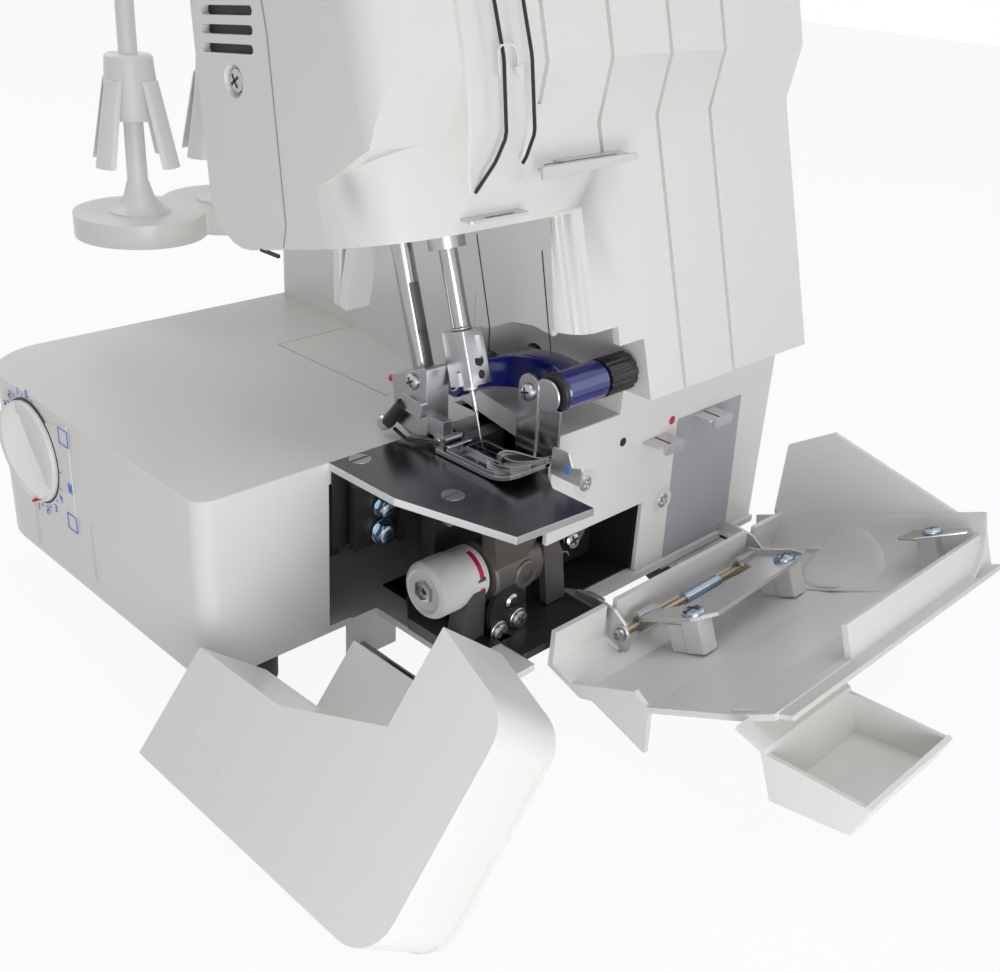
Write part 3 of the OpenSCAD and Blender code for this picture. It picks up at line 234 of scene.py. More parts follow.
class Piece:
    """Geometry gathered into one object that rides a body.

    m places what is added next, and look is the index of the material that its faces get.
    """

    def __init__(self, name, body, *looks):
        self.name, self.body, self.looks = name, body, looks
        self.bm, self.m, self.look = bmesh.new(), Matrix.Identity(4), 0

    def use(self, look):
        """New faces get this material, one of the piece's own."""
        self.look = self.looks.index(look)

    def add(self, verts, faces):
        vs = [self.bm.verts.new(self.m @ Vector(v)) for v in verts]
        for f in faces:
            try:  # a face that is already there is left out
                self.bm.faces.new([vs[i] for i in f]).material_index = self.look
            except ValueError:
                pass

    def prism(self, pts, axis, a, b):
        to, n = AXES[axis], len(pts)
        verts = [to(u, v, a) for u, v in pts] + [to(u, v, b) for u, v in pts]
        faces = [tuple(range(n)), tuple(range(2 * n - 1, n - 1, -1))]
        faces += [(i, (i + 1) % n, n + (i + 1) % n, n + i) for i in range(n)]
        self.add(verts, faces)

    def box(self, p, q):
        self.prism([(p[0], p[1]), (q[0], p[1]), (q[0], q[1]), (p[0], q[1])], "z", p[2], q[2])

    def lathe(self, profile, at, along, n=40):
        """Turns (radius, distance) points about the line from at along a direction."""
        turn = Vector((0, 0, 1)).rotation_difference(Vector(along)).to_matrix()
        verts, faces = [], []
        for r, t in profile:
            for k in range(n):
                a = 2 * math.pi * k / n
                verts.append(Vector(at) + turn @ Vector((r * math.cos(a), r * math.sin(a), t)))
        for i in range(len(profile) - 1):
            for k in range(n):
                j = (k + 1) % n
                faces.append((i * n + k, i * n + j, (i + 1) * n + j, (i + 1) * n + k))
        if profile[0][0] > 1e-6:
            faces.append(tuple(range(n - 1, -1, -1)))
        if profile[-1][0] > 1e-6:
            faces.append(tuple(range((len(profile) - 1) * n, len(profile) * n)))
        self.add(verts, faces)

    def rod(self, at, along, r, length, chamfer=0.3, n=32):
        c = min(chamfer, r * 0.4, length * 0.4)
        self.lathe([(r - c, 0), (r, c), (r, length - c), (r - c, length)], at, along, n)

    def tube(self, path, r, n=12):
        """A round wire along a path of points."""
        pts = [Vector(p) for p in path]
        rings, up = [], None
        for i, p in enumerate(pts):
            t = (pts[min(i + 1, len(pts) - 1)] - pts[max(i - 1, 0)]).normalized()
            up = t.orthogonal().normalized() if up is None else (up - t * up.dot(t)).normalized()
            side = t.cross(up)
            rings += [p + (up * math.cos(2 * math.pi * k / n) + side * math.sin(2 * math.pi * k / n)) * r
                      for k in range(n)]
        faces = [(i * n + k, i * n + (k + 1) % n, (i + 1) * n + (k + 1) % n, (i + 1) * n + k)
                 for i in range(len(pts) - 1) for k in range(n)]
        faces += [tuple(range(n - 1, -1, -1)), tuple(range((len(pts) - 1) * n, len(pts) * n))]
        self.add(rings, faces)

    def sheet(self, rows, thick=0.0, closed=False):
        """A surface through rows of points, given a thickness on its back."""
        nr, nc = len(rows), len(rows[0])
        verts = [Vector(p) for row in rows for p in row]
        faces = [(i * nc + j, i * nc + (j + 1) % nc, (i + 1) * nc + (j + 1) % nc, (i + 1) * nc + j)
                 for i in range(nr - 1) for j in range(nc if closed else nc - 1)]
        if thick:
            normals = [Vector((0, 0, 0)) for _ in verts]
            for f in faces:
                a, b, c, d = (verts[k] for k in f)
                nrm = (c - a).cross(d - b)
                for k in f:
                    normals[k] += nrm
            back = [v - n.normalized() * thick for v, n in zip(verts, normals)]
            m = len(verts)
            verts += back
            rim = [i for i in range(nc)] + [i * nc + nc - 1 for i in range(1, nr)]
            rim += [(nr - 1) * nc + j for j in range(nc - 2, -1, -1)] + [i * nc for i in range(nr - 2, 0, -1)]
            faces += [tuple(m + k for k in reversed(f)) for f in faces]
            if not closed:
                faces += [(rim[(i + 1) % len(rim)], rim[i], rim[i] + m, rim[(i + 1) % len(rim)] + m)
                          for i in range(len(rim))]
        self.add(verts, faces)

    def loft(self, rows):
        """A solid through closed rows of points, capped at both ends."""
        self.sheet(rows, closed=True)
        for row in (rows[0], rows[-1]):
            self.add(row, [tuple(range(len(row)))])

    def screw(self, at, along, d, h, turn=20.0):
        """A domed head standing on at, with a cross in the piece's last material."""
        r, look, keep = d / 2, self.look, self.m
        base = Vector((0, 0, 1)).rotation_difference(Vector(along)).to_matrix().to_4x4()
        head = keep @ Matrix.Translation(at) @ base @ Matrix.Rotation(math.radians(turn), 4, "Z")
        dome = [(r, 0), (r, h * 0.35), (r * 0.93, h * 0.65), (r * 0.72, h * 0.9), (r * 0.4, h), (0, h)]
        self.m = head
        self.lathe(dome, (0, 0, 0), (0, 0, 1), 28)
        # the cross is raised bars, not a recess; in the dark material it is painted shade of the cross slot
        self.look = len(self.looks) - 1
        reach, half = r * 0.6, r * 0.13
        for a in (0, 90):
            self.m = head @ Matrix.Rotation(math.radians(a), 4, "Z")
            self.box((-reach, -half, h * 0.6), (reach, half, h * 1.04))
        self.m, self.look = keep, look

    def done(self, edge=0.0, sharp=SHARP, cad=(), cuts=()):
        """Makes the object, with edges rounded by edge mm. It replaces the nodes in cad."""
        bmesh.ops.remove_doubles(self.bm, verts=self.bm.verts, dist=1e-4)
        bmesh.ops.recalc_face_normals(self.bm, faces=self.bm.faces)
        bmesh.ops.scale(self.bm, vec=(0.001,) * 3, verts=self.bm.verts)
        mesh = bpy.data.meshes.new(self.name)
        for look in self.looks:
            mesh.materials.append(M[look])
        self.bm.to_mesh(mesh)
        self.bm.free()
        obj = bpy.data.objects.new(self.name, mesh)
        bpy.context.scene.collection.objects.link(obj)
        for cutter in cuts:
            cut(obj, cutter.done())
        obj.data.shade_smooth()
        obj.data.set_sharp_from_angle(angle=math.radians(sharp))
        if edge:
            bevel = obj.modifiers.new("bevel", "BEVEL")
            bevel.width, bevel.segments = edge / 1000, 2
            bevel.limit_method, bevel.angle_limit = "ANGLE", math.radians(sharp)
            bevel.harden_normals = True
        if self.body:
            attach(obj, self.body)
        if cad:
            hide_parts(*cad)
        return obj


def recast(name, widest, width, cuts=(), body="machine", looks=("white",), look_of=None):
    """A CAD shell with its flat faces joined, each edge rounded by width(middle, length, along) mm.

    widest is the largest of these widths, and look_of(normal, middle) picks a face's material.
    """
    bm = bmesh.new()
    bm.from_mesh(N[name].data)
    bm.transform(N[name].matrix_world)
    bmesh.ops.remove_doubles(bm, verts=bm.verts, dist=JOIN)
    mesh = bpy.data.meshes.new(name + "_shape")
    bm.to_mesh(mesh)
    bm.free()
    obj = bpy.data.objects.new(name + "_shape", mesh)
    bpy.context.scene.collection.objects.link(obj)
    for cutter in cuts:
        cut(obj, cutter.done())
    bm = bmesh.new()
    bm.from_mesh(obj.data)
    bmesh.ops.remove_doubles(bm, verts=bm.verts, dist=JOIN)
    bmesh.ops.dissolve_limit(bm, angle_limit=math.radians(0.6), verts=bm.verts, edges=bm.edges)
    weight = bm.edges.layers.float.new("bevel_weight_edge")
    for e in bm.edges:
        if len(e.link_faces) == 2 and e.calc_face_angle() > math.radians(SHELL_SHARP):
            mid = (e.verts[0].co + e.verts[1].co) * 1000 / 2
            along = (e.verts[1].co - e.verts[0].co).normalized()
            e[weight] = min(1, width(mid, e.calc_length() * 1000, along) / widest)
    if look_of:
        for f in bm.faces:
            f.material_index = look_of(f.normal, f.calc_center_median() * 1000)
    paint(obj, *looks)
    bm.to_mesh(obj.data)
    bm.free()
    obj.data.shade_smooth()
    obj.data.set_sharp_from_angle(angle=math.radians(SHELL_SHARP))
    bevel = obj.modifiers.new("bevel", "BEVEL")
    bevel.width, bevel.segments, bevel.limit_method = widest / 1000, 4, "WEIGHT"
    flat = obj.modifiers.new("flat", "WEIGHTED_NORMAL")
    flat.weight, flat.keep_sharp = 100, True
    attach(obj, body)
    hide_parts(name)


# ---------- places that several pieces share, in mm, from the frame where it knows them ----------
def corners(node):
    """The low and the high corner of a CAD node."""
    return [Vector([round(c * 1000, 4) for c in p]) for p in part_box(node)]


def joint(name):
    return next(j for j in frame["joints"] if j["name"] == name)


def pivot(name):
    """A hinge's place."""
    return Vector([round(c * 1000, 4) for c in joint(name)["pos_m"]])


BED_LEFT, BED_TOP = corners("bed_cover")[0].x, corners("bed_cover")[1].z
PLATE_Y = corners("front_plate")[0].y
HEAD_LEFT = corners("end_cap")[0].x
HEAD_TOP = corners("arm_shell")[1].z - 0.4  # lines on the head end just under its top
# the leaning front: its low edge, its slope, and the crease where it steps out to the brow
PANEL_LOW_Y, PANEL_LOW_Z = -123.7, corners("front_plate")[1].z
SLOPE = math.tan(math.radians(16))
CREASE, BROW, STEP = PANEL_LOW_Z + 100, PANEL_LOW_Z + 122.5, 3.7
GUIDE_X = -26.0  # where the tension panel meets the head
CHANNEL_X, CHANNEL_PITCH, CHANNEL_COUNT = -18.5, 33, 4
LEAN = Matrix.Rotation(math.radians(-18), 4, "X")  # of the needle bar and the presser bar
AT_NEEDLE = Matrix.Translation((-28, -88.4, BED_TOP)) @ LEAN
HINGE, SIDE_PIN = pivot("looper_cover_hinge"), pivot("side_cover_hinge")


def about(pin, angle, axis):
    """A turn by degrees about an axis through the point pin."""
    return Matrix.Translation(pin) @ Matrix.Rotation(math.radians(angle), 4, axis) @ Matrix.Translation(-pin)


# from a cover's shut place to where it hangs open
COVER_OPEN = about(HINGE, joint("looper_cover_hinge")["range_deg"][1], "X")
SIDE_SLIDE = joint("side_cover_slide")["range_m"][1] * 1000
SIDE_OPEN = (Matrix.Translation((0, -SIDE_SLIDE, 0))
             @ about(SIDE_PIN, -joint("side_cover_hinge")["range_deg"][1], "Y"))


def panel_y(z, out=0.0):
    """The leaning front's lower zone at height z, moved out by a distance."""
    return PANEL_LOW_Y + (z - PANEL_LOW_Z) * SLOPE - out


def brow_y(z, out=0.0):
    """The same with the step out above the crease."""
    step = STEP * min(1, max(0, (z - CREASE) / (BROW - CREASE)))
    return panel_y(min(z, CREASE), out) - step + max(0, z - BROW) * SLOPE


def between(table, z):
    """The value at z on a line through (z, value) points."""
    for (z0, v0), (z1, v1) in zip(table, table[1:]):
        if z <= z1:
            break
    return v0 + (v1 - v0) * (z - z0) / (z1 - z0)


# ---------- body shells ----------
def bed_edges(mid, length, along):
    """The bed's top edges are soft, but not where the plate and the column stand."""
    return 3.0 if mid.z > BED_TOP - 0.5 and (mid.x < -126 or mid.y > 108 or mid.y < -58) else 0.35


recast("bed_cover", 3.0, bed_edges)


def shell_edges(mid, length, along):
    """Square where the head meets the panel, fine against the end cap and in the throat."""
    if abs(mid.x - GUIDE_X) < 0.4 and abs(along.x) < 0.3:
        return 0.0
    if mid.x < HEAD_LEFT + 3.5:
        return 0.3
    return 2.6 if length > 9 and mid.y < 60 and not (mid.x > -70 and mid.z < 168 and mid.z > 102) else 0.3


recast("arm_shell", 2.6, shell_edges)


def panel_edges(mid, length, along):
    """Nearly square beside the head and along the thread channels."""
    channel = min(abs(mid.x - CHANNEL_X - CHANNEL_PITCH * i) for i in range(CHANNEL_COUNT))
    if abs(mid.x - GUIDE_X) < 0.4 or (channel < 1.8 and abs(along.x) < 0.3):
        return 0.15
    return 1.8 if length > 9 and mid.z > 140 else 0.6


recast("tension_panel", 1.8, panel_edges)


def cap_edges(mid, length, along):
    """The cap's outer outline is soft, its vents aren't."""
    at_vents = -40 < mid.y < 4 and mid.z > 236
    return 1.2 if abs(along.x) < 0.4 and length > 6 and mid.x < HEAD_LEFT + 0.5 and not at_vents else 0.3


CAP_SCREW = (HEAD_LEFT, -24.4, 230)
well = Piece("well", None, "white")
well.lathe([(6.2, -1), (5.4, 0.3), (4.6, 2.4), (0, 2.4)], CAP_SCREW, (1, 0, 0), 36)
recast("end_cap", 1.2, cap_edges, cuts=(well,))

# thread guide capsule: rounded in plan, running out to nothing at its low end
CAPSULE_LEFT, CAPSULE_RIGHT, CAPSULE_TOP = -60.6, -25.6, 302.9
CAPSULE_FRONT = ((203, -100.8), (214, -106.0), (222, -107.4), (245, -104.0),
                 (CAPSULE_TOP, brow_y(CAPSULE_TOP) - 6))
# (z, x) points of its two grooves
GROOVES = (((203.6, -50.6), (222, -44.2), (245, -43.8), (HEAD_TOP, -47.2)),
           ((212, -33.6), (222, -31.2), (245, -31.2), (HEAD_TOP, -34.2)))
capsule = Piece("capsule_shape", "machine", "white", "inner", "dark")
rows = []
for z in (203, 206, 210, 214, 218, 222, 228, 236, 245, 260, 275, 290, CAPSULE_TOP):
    y, back = between(CAPSULE_FRONT, z), brow_y(z) + 5
    left = CAPSULE_LEFT + 8 * max(0, (222 - z) / 19) ** 2
    corner = min(5.5, max(0.3, (brow_y(z) - y) * 0.9))
    plan = [(left, back), (left, y), (CAPSULE_RIGHT, y), (CAPSULE_RIGHT, back)]
    rows.append([(u, v, z) for u, v in rounded(plan, [0, corner, corner, 0], 6)])
capsule.loft(rows)
# the grooves are dark tubes: painted shade in the grooves
capsule.use("dark")
for line in GROOVES:
    low = line[0][0]
    levels = [low + (HEAD_TOP - low) * k / 40 for k in range(41)]
    capsule.tube([(between(line, z), between(CAPSULE_FRONT, z) + 0.3, z) for z in levels], 0.62, 8)
capsule.done(cad=("guide_capsule",), sharp=40)


def side_edges(mid, length, along):
    """Soft all round, but not at the pin's ears."""
    return 2.2 if length > 1 and not (-60 < mid.x < -55 and mid.z > 30) else 0.4


recast("side_cover", 2.2, side_edges, body="side_door")
# painted highlight: the plate's side faces high up get a lit copy of its metal, brighter than its top face
recast("needle_plate", 0.5, lambda mid, length, along: 0.5, looks=("plate", "bright"),
       look_of=lambda normal, mid: 1 if abs(normal.z) < 0.5 and mid.z > 97 else 0)

cap = Piece("cap_details", "machine", "zinc", "dark")
cap.screw((-87.8, CAP_SCREW[1], CAP_SCREW[2]), (-1, 0, 0), 8.2, 1.8, 35)
# the cap's slot is a dark strip: painted shade in the slot
cap.use("dark")
cap.box((HEAD_LEFT - 0.06, -47, 175.4), (HEAD_LEFT + 1, -36.5, 176.6))
cap.done(0.1)

# vents look into the head's inside: a dark sheet behind them is painted shade
dark = Piece("vent_shade", "machine", "dark")
dark.box((-86.8, -37, 236), (-86.2, -7, 290))
dark.done()

# raised arrow on the capsule, red lens between its grooves, and the head's small guides
art = Piece("capsule_details", "machine", "white", "red")
hook = [(-46.2, 239.5), (-46.2, 247), (-44.7, 248.6), (-39.1, 248.6), (-37.8, 247), (-37.8, 241)]
art.tube([(x, between(CAPSULE_FRONT, z), z) for x, z in hook], 0.45, 8)
art.prism([(-39.8, 242.4), (-35.8, 242.4), (-37.8, 238.6)], "y", -105.4, -104.2)
art.use("red")
art.prism(rounded([(-46, 299.6), (-37, 299.6), (-37, 302.8), (-46, 302.8)], 1), "y",
          brow_y(301, 6.6), brow_y(301))
art.done(0.15)

guide = Piece("thread_guide_head", "machine", "sheet", "dark")
x0, x1, z = -58.2, -31, 195.6
front, back = panel_y(z) - 5.5, panel_y(z) + 1
guide.prism(rounded([(x0, front), (x1, front), (x1, back), (x0, back)], 1.2), "z", z, z + 0.9)
# a dark strip on the guide's top: painted shade in its slot
guide.use("dark")
guide.box((x0 + 8, front + 1.4, z + 0.86), (x1 - 6, front + 2.6, z + 0.94))
guide.done(0.15)

y0 = panel_y(208.9)
bar = Piece("guide_bar_shape", "machine", "sheet", "dark")
bar.prism(rounded([(-26, y0 - 9), (22.6, y0 - 9), (22.6, y0 - 0.2), (-11, y0 - 0.2), (-11, y0 - 6),
                   (-26, y0 - 6)], [1, 1, 0.3, 0.5, 1, 1]), "z", 208.6, 209.9)
bar.prism(rounded([(-26, 206.2), (14, 206.6), (22.6, 208.8), (22.6, 209.9), (-26, 209.9)],
                  [1, 2, 0.3, 0.3, 0.5]), "y", y0 - 9.2, y0 - 8.2)
# a dark strip on the bar's top: painted shade in its slot
bar.use("dark")
bar.box((-21, y0 - 5, 209.86), (17, y0 - 4, 209.95))
bar.done(0.2, cad=("guide_bar",))

# joint lines in the throat's wall, and where the end cap meets the head
seams = Piece("shell_seams", "machine", "dark")


def wall_x(y):
    """The throat's slanting wall at depth y."""
    return -12.03 + (y + 105) * 36 / 161


for back, z0, z1, bend in ((13, 140, 177, 3), (58, 128, 172, 0)):
    seams.tube([(wall_x(y), y, z) for y, z in (
        (panel_y(z0, -back), z0), (panel_y(z0, -back - bend), z0 + 10), (panel_y(z1, -back), z1))], 0.3, 6)
seams.done()
cap_line = Piece("cap_joint", "machine", "inner_seam")
cap_back = ((-30, HEAD_TOP), (-44.3, 247), (-52.1, 188), (-50.6, 180))
cap_line.tube([(HEAD_LEFT + 0.05, y, z) for y, z in cap_back], 0.32, 6)
cap_line.done()
# the throat wall comes down to the knife's arm
skirt = Piece("throat_skirt", "machine", "white")
low = [(-52.2, 134), (-64, 138), (-78, 145), (-92, 148), (-104.6, 148), (-104.6, 150.2), (-52.2, 150.2)]
skirt.loft([[(wall_x(y) + out, y, z) for y, z in low] for out in (0.03, 2.63)])
skirt.done(0.3)

# ---------- needle clamp, presser bar and foot ----------
clamp = Piece("needle_clamp_shape", "needle_unit", "zinc", "dark")
clamp.m = AT_NEEDLE
clamp.prism(rounded([(-5.3, -6.2), (5.2, -6.2), (5.2, 6.2), (-5.3, 6.2)], 0.9), "z", 26.4, 47)
clamp.rod((0, 0, 24.4), (0, 0, 1), 3.4, 2.2)
# cutters: the front slot, the arch on the left and the screw's hole
slot = Piece("slot", None, "zinc")
slot.m = AT_NEEDLE
slot.prism(rounded([(-1.8, 33.6), (2.4, 33.6), (2.4, 45), (-1.8, 45)], 1), "y", -8, -5)
arch = Piece("arch", None, "zinc")
arch.m = AT_NEEDLE
arch.prism(rounded([(-4.4, 22), (3.6, 22), (3.6, 35), (-4.4, 35)], 3.6), "x", -8, -4.2)
hole = Piece("hole", None, "zinc")
hole.m = AT_NEEDLE
hole.rod((0.4, -8, 30), (0, 1, 0), 1.6, 6, 0.1, 20)
clamp.done(0.35, cad=("needle_clamp",), cuts=(slot, arch, hole))
pins = Piece("clamp_pins", "needle_unit", "dark", "steel")
pins.m = AT_NEEDLE
for z in (30.2, 34.6):
    pins.rod((0.4, -6.6, z), (0, 1, 0), 1.5, 2, 0.2, 20)
pins.use("steel")
pins.rod((0, 0, 47), (0, 0, 1), 3.9, 1.2)
pins.done()

holder = Piece("foot_holder_shape", "presser_unit", "zinc", "dark")
holder.prism(rounded([(-50.2, 126), (-72.1, 132.6), (-73.1, 106), (-64, 102.4), (-51.5, 101.6)],
                     [3, 1, 1, 2, 5]), "x", -43.2, -32.2)
holder.box((-41.5, -80, 106.2), (-37, -72, 113.4))
holder.rod((-41.6, -80, 106), (1, 0, 0), 1.3, 9.6)
holder.done(0.5, cad=("foot_holder",))
latch = Piece("foot_latch", "presser_unit", "zinc", "black", "red", "dark")
latch.screw((-43.2, -64.6, 125.4), (-1, 0, 0), 6.6, 1.7, 30)
latch.prism(rounded([(-62.4, 114.6), (-72.6, 114.2), (-72.6, 119.4), (-62.4, 120.2)], 0.5), "x", -46.4, -43)
latch.rod((-48.6, -52.6, 105.6), (1, 0, -0.1), 3.0, 4.6, 0.9)
latch.use("black")
latch.tube([(-46, -54, 106), (-46.4, -58, 110.5), (-45.6, -62, 116)], 2.7, 14)
latch.tube([(-44.6, -56, 103.6), (-45.2, -64, 101.9), (-43.4, -72, 103.4), (-42.2, -79, 104.4)], 0.8, 8)
latch.use("red")
latch.rod((-41, -50.6, 121.6), (0, 1, 0), 1.3, 1.6)
latch.done(0.15)

# foot: sole with a raised toe, rails and clip
FOOT_LEFT, FOOT_RIGHT, FOOT_TOE, SOLE_T = -43.2, -21.8, -119.4, 1.7
GAP_LEFT, GAP_RIGHT, GAP_FRONT = -33.2, -24.6, -103  # the opening for the needle
TOE_BEND = -104  # the sole rises in front of this depth
foot = Piece("presser_foot_shape", "foot", "steel")


def sole_z(y):
    """The sole's height at depth y. It rises at the toe."""
    return BED_TOP + 0.45 + max(0.0, TOE_BEND - y) ** 2 * 0.018


def band(x_at, y0, y1, low, high, n=14):
    """A strip of the foot between the two sides x_at(y), from low to high above the sole."""
    rows = []
    for i in range(n + 1):
        y = y0 + (y1 - y0) * i / n
        a, b = x_at(y)
        z = sole_z(y)
        rows.append([(a, y, z + low), (b, y, z + low), (b, y, z + high), (a, y, z + high)])
    foot.loft(rows)


def toe(y):
    """How far the toe's rounded corner cuts in at depth y."""
    t = min(1.0, max(0.0, (-113 - y) / 6.6))
    return 5 * (1 - math.sqrt(max(0, 1 - t * t)))


band(lambda y: (FOOT_LEFT + toe(y), GAP_LEFT), -78, FOOT_TOE, 0, SOLE_T)
band(lambda y: (GAP_RIGHT, FOOT_RIGHT - toe(y) * 1.4), -84, FOOT_TOE, 0, SOLE_T)
band(lambda y: (GAP_LEFT - 0.1, GAP_RIGHT + 0.1), GAP_FRONT, FOOT_TOE, 0, SOLE_T)
band(lambda y: (-41.0, -31.6), -66, -84, 1.65, 3.4, 4)  # heel, clear of the plate when the foot tilts
band(lambda y: (GAP_LEFT - 0.1, GAP_RIGHT + 0.1), -80, -84, 0, SOLE_T, 2)
# rails along the sole, curved ridges on the toe, and the wire that guides the cloth's edge
for x0, x1, ya, yb in ((-43.2, -42.2, -84, -110), (-35.2, -34.2, -86, -104), (-26.0, -25.0, -86, -100)):
    band(lambda y: (x0, x1), ya, yb, 1.6, 3.4)
for x, bend in ((-37.5, 5), (-31, 8), (-24.6, 4)):
    def ridge(y):
        """The ridge's two sides at depth y."""
        mid = x + bend * ((TOE_BEND - y) / 14) ** 2
        return mid - 0.35, mid + 0.35

    band(ridge, -100, -117.5, 1.6, 3.6)
rows = []
for i in range(13):
    t = i / 12
    x, y = -33 + 11.4 * t, -101 - 17 * t ** 2.2
    z = sole_z(y) + 1.6
    h = 3.6 * math.sin(math.pi * min(1, 0.25 + t * 0.75)) + 0.6
    rows.append([(x - 0.4, y, z), (x + 0.4, y + 0.3, z), (x + 0.6, y + 0.5, z + h),
                 (x - 0.2, y + 0.2, z + h)])
foot.sheet(rows, closed=True)
for x in (-42.4, -32.6):
    foot.box((x, -81.5, 102.6), (x + 1.2, -76, 107.6))
for y, z, radius in ((-78.6, 106, 1.1), (-84.6, 105.2, 0.8)):
    foot.rod((-43, y, z), (1, 0, 0), radius, 12.2)
foot.done(0.18, cad=("presser_foot",))

# ---------- upper knife ----------
# (y, z) of the arm's two tubes
SHAFT, FRONT = pivot("knife_rock").yz, pivot("knife_retract").yz
TUBE_R = 7.3
arm = Piece("knife_arm_shape", "knife_rocker", "blue", "dark", "knob")
arm.rod((-21, *SHAFT), (1, 0, 0), TUBE_R, 20, 0.8, 48)
arm.rod((-14.6, *FRONT), (1, 0, 0), TUBE_R, 22.2, 0.8, 48)
rows = []
for i in range(15):
    t = i / 14
    y, z = SHAFT.lerp(FRONT, t)
    half, up = 7.0, 7.0 + 5 * math.sin(math.pi * t)
    left = -8 - 12 * max(0, 1 - t * 2.4) ** 2 - 5 * max(0, t - 0.8) / 0.2
    rows.append([(u, y, z + v) for u, v in rounded(
        [(left, -half), (7.6, -half), (7.6, up), (left, up)], 3.4, 4)])
arm.loft(rows)
arm.use("dark")
arm.rod((-16.8, *FRONT), (1, 0, 0), 7.4, 2.2, 0.5, 48)
arm.rod((-1.4, *SHAFT), (1, 0, 0), 7.5, 2.4, 0.5, 48)
arm.use("knob")
arm.rod((-21.5, *SHAFT), (1, 0, 0), 4.6, 1, 0.3)
arm.done(cad=("knife_arm",))

strip = Piece("upper_knife_shape", "knife_holder", "steel", "zinc", "dark")
strip.prism([(-96, 101.6), (-96, 129)] + arc(-101, 129, 5, 0, 180, 10) + [(-106, 101.6)], "x", -18.9, -17.4)
strip.prism([(-107.2, 103.4), (-117, 103.4), (-117, 124), (-107.2, 124)], "x", -18.4, -17.2)
strip.rod((-17.8, *FRONT), (1, 0, 0), 3, 26, 0.3)
strip.use("zinc")
strip.rod((-18.5, -109.5, 128), (1, 0, 0), 6.4, 1.3, 0.4, 40)
strip.screw((-18.9, -101, 127.2), (-1, 0, 0), 7, 2, 15)
strip.done(0.2, cad=("upper_knife",))
lens = Piece("knife_bracket", "machine", "sheet", "tick")
lens.prism(rounded([(-117, 100.6), (-131, 100.6), (-131, 106.5), (-127, 106.5), (-124, 110.4), (-117, 110.4)],
                   0.5), "x", -20.7, -19.8)
lens.use("tick")
lens.rod((-21.0, -124.4, 104.6), (1, 0, 0), 1.7, 0.5, 0.1)
lens.done(0.12)

# ---------- under the needle plate ----------
under = Piece("bracket_screws", "machine", "blue_zinc", "dark")
for z, d in ((79, 9.0), (68.4, 10.6)):
    under.rod((-59, -66.2, z), (0, -1, 0), d / 2, 1.1, 0.2)
    under.lathe([(d * 0.42, 0), (d * 0.42, 3)], (-59, -67.2, z), (0, -1, 0), 6)
    under.screw((-59, -70, z), (0, -1, 0), d * 0.74, 1.5, 25)
under.done(0.15, cad=("frame_screws",))
# black sheets in the hollows under the plate: painted shade
cavity_shade = Piece("cavity_painted_shade", "machine", "black")
cavity_shade.box((-78.4, -61.2, 64), (-36, -60.4, 97))
cavity_shade.box((-36, -123.4, 26.8), (12, -104, 30.2))
cavity_shade.box((-52, -111.6, 29.6), (-30, -104, 30.2))
cavity_shade.box((-44, -106, 29.6), (46.8, -50, 30.4))
cavity_shade.prism(rounded([(6, 30), (44, 30), (44, 44), (30, 58), (18, 58), (6, 46)], 3), "y", -88, -70)
cavity_shade.box((-11, -49.6, 30), (131, -48.8, 89))
cavity_shade.box((46.9, -107, 30), (47.6, -50, 62))
cavity_shade.box((-11.8, -107, 62.9), (47, -50, 63.6))
cavity_shade.done()

cast = Piece("casting_shape", "machine", "cast", "dark", "zinc", "steel")
cast.prism(rounded([(-34.5, 30), (-14, 30), (-9, 42), (-8.5, 62), (-12, 76), (-14, 97), (-40, 97), (-42, 84),
                    (-33, 74), (-31, 56)], [2, 6, 10, 10, 8, 2, 2, 5, 5, 5]), "y", -106.2, -99)
cast.lathe([(11.6, 0), (12.4, 1), (12.4, 25), (10.5, 27.5)], (-35.6, -95.4, 53.5), (1, 0, 0), 44)
cast.prism(rounded([(-3, 97), (-7, 74), (-2, 64), (4, 60), (7, 52), (8.5, 30), (-4, 30), (-10, 46),
                    (-14, 97)], [2, 3, 2, 4, 4, 2, 2, 5, 1]), "y", -105.4, -101.8)
cast.prism(rounded([(-51, 29.6), (-38, 29.6), (-36, 60), (-44, 58), (-46, 46)], [1, 1, 3, 3, 3]), "y",
           -104, -96)
cast.prism(rounded([(-60, -104), (-44, -104), (-44, -66), (-52, -66), (-60, -80)], [4, 2, 2, 6, 4]), "z",
           29.6, 34.4)
cast.prism(rounded([(-67.3, -112.6), (-32, -112.6), (-32, -102.6), (-67.3, -102.6)], [4, 1, 1, 4]), "z",
           89.5, 97.4)
cast.prism(rounded([(-60, -72), (-14, -72), (-14, -66), (-60, -66)], 1), "z", 80, 97.4)
cast.prism([(-36, 30), (0, 30), (0, 97), (-36, 97)], "y", -72, -64.4)
cast.box((-4, -66, 30), (36, -48.4, 61))
cast.lathe([(6.2, -3), (6.0, 1.4), (5.2, 2.0), (3.0, 2.0), (3.0, -1)], (-19.8, -106.2, 52.6), (0, -1, 0), 36)
cast.use("dark")
cast.lathe([(3.0, 0), (2.2, 0.6), (0, 0.6)], (-19.8, -106.2, 52.6), (0, -1, 0), 6)
cast.prism([(u * 1.02 - 28.6, v * 1.2 + 39.5) for u, v in arc(0, 0, 9.6, 0, 345, 28)], "y", -107.4, -105)
cast.use("steel")
cast.rod((-27.4, -105, 43.4), (0, -1, 0), 3.4, 4.2, 0.9)
cast.use("zinc")
for x, z in ((-33.2, 31.8), (-22.8, 33.6)):
    cast.rod((x, -107.2, z), (0, -1, 0), 4.5, 0.8, 0.2)
    cast.screw((x, -108, z), (0, -1, 0), 7.8, 1.9, x * 7)
cast.done(0.7, cad=("looper_frame",))

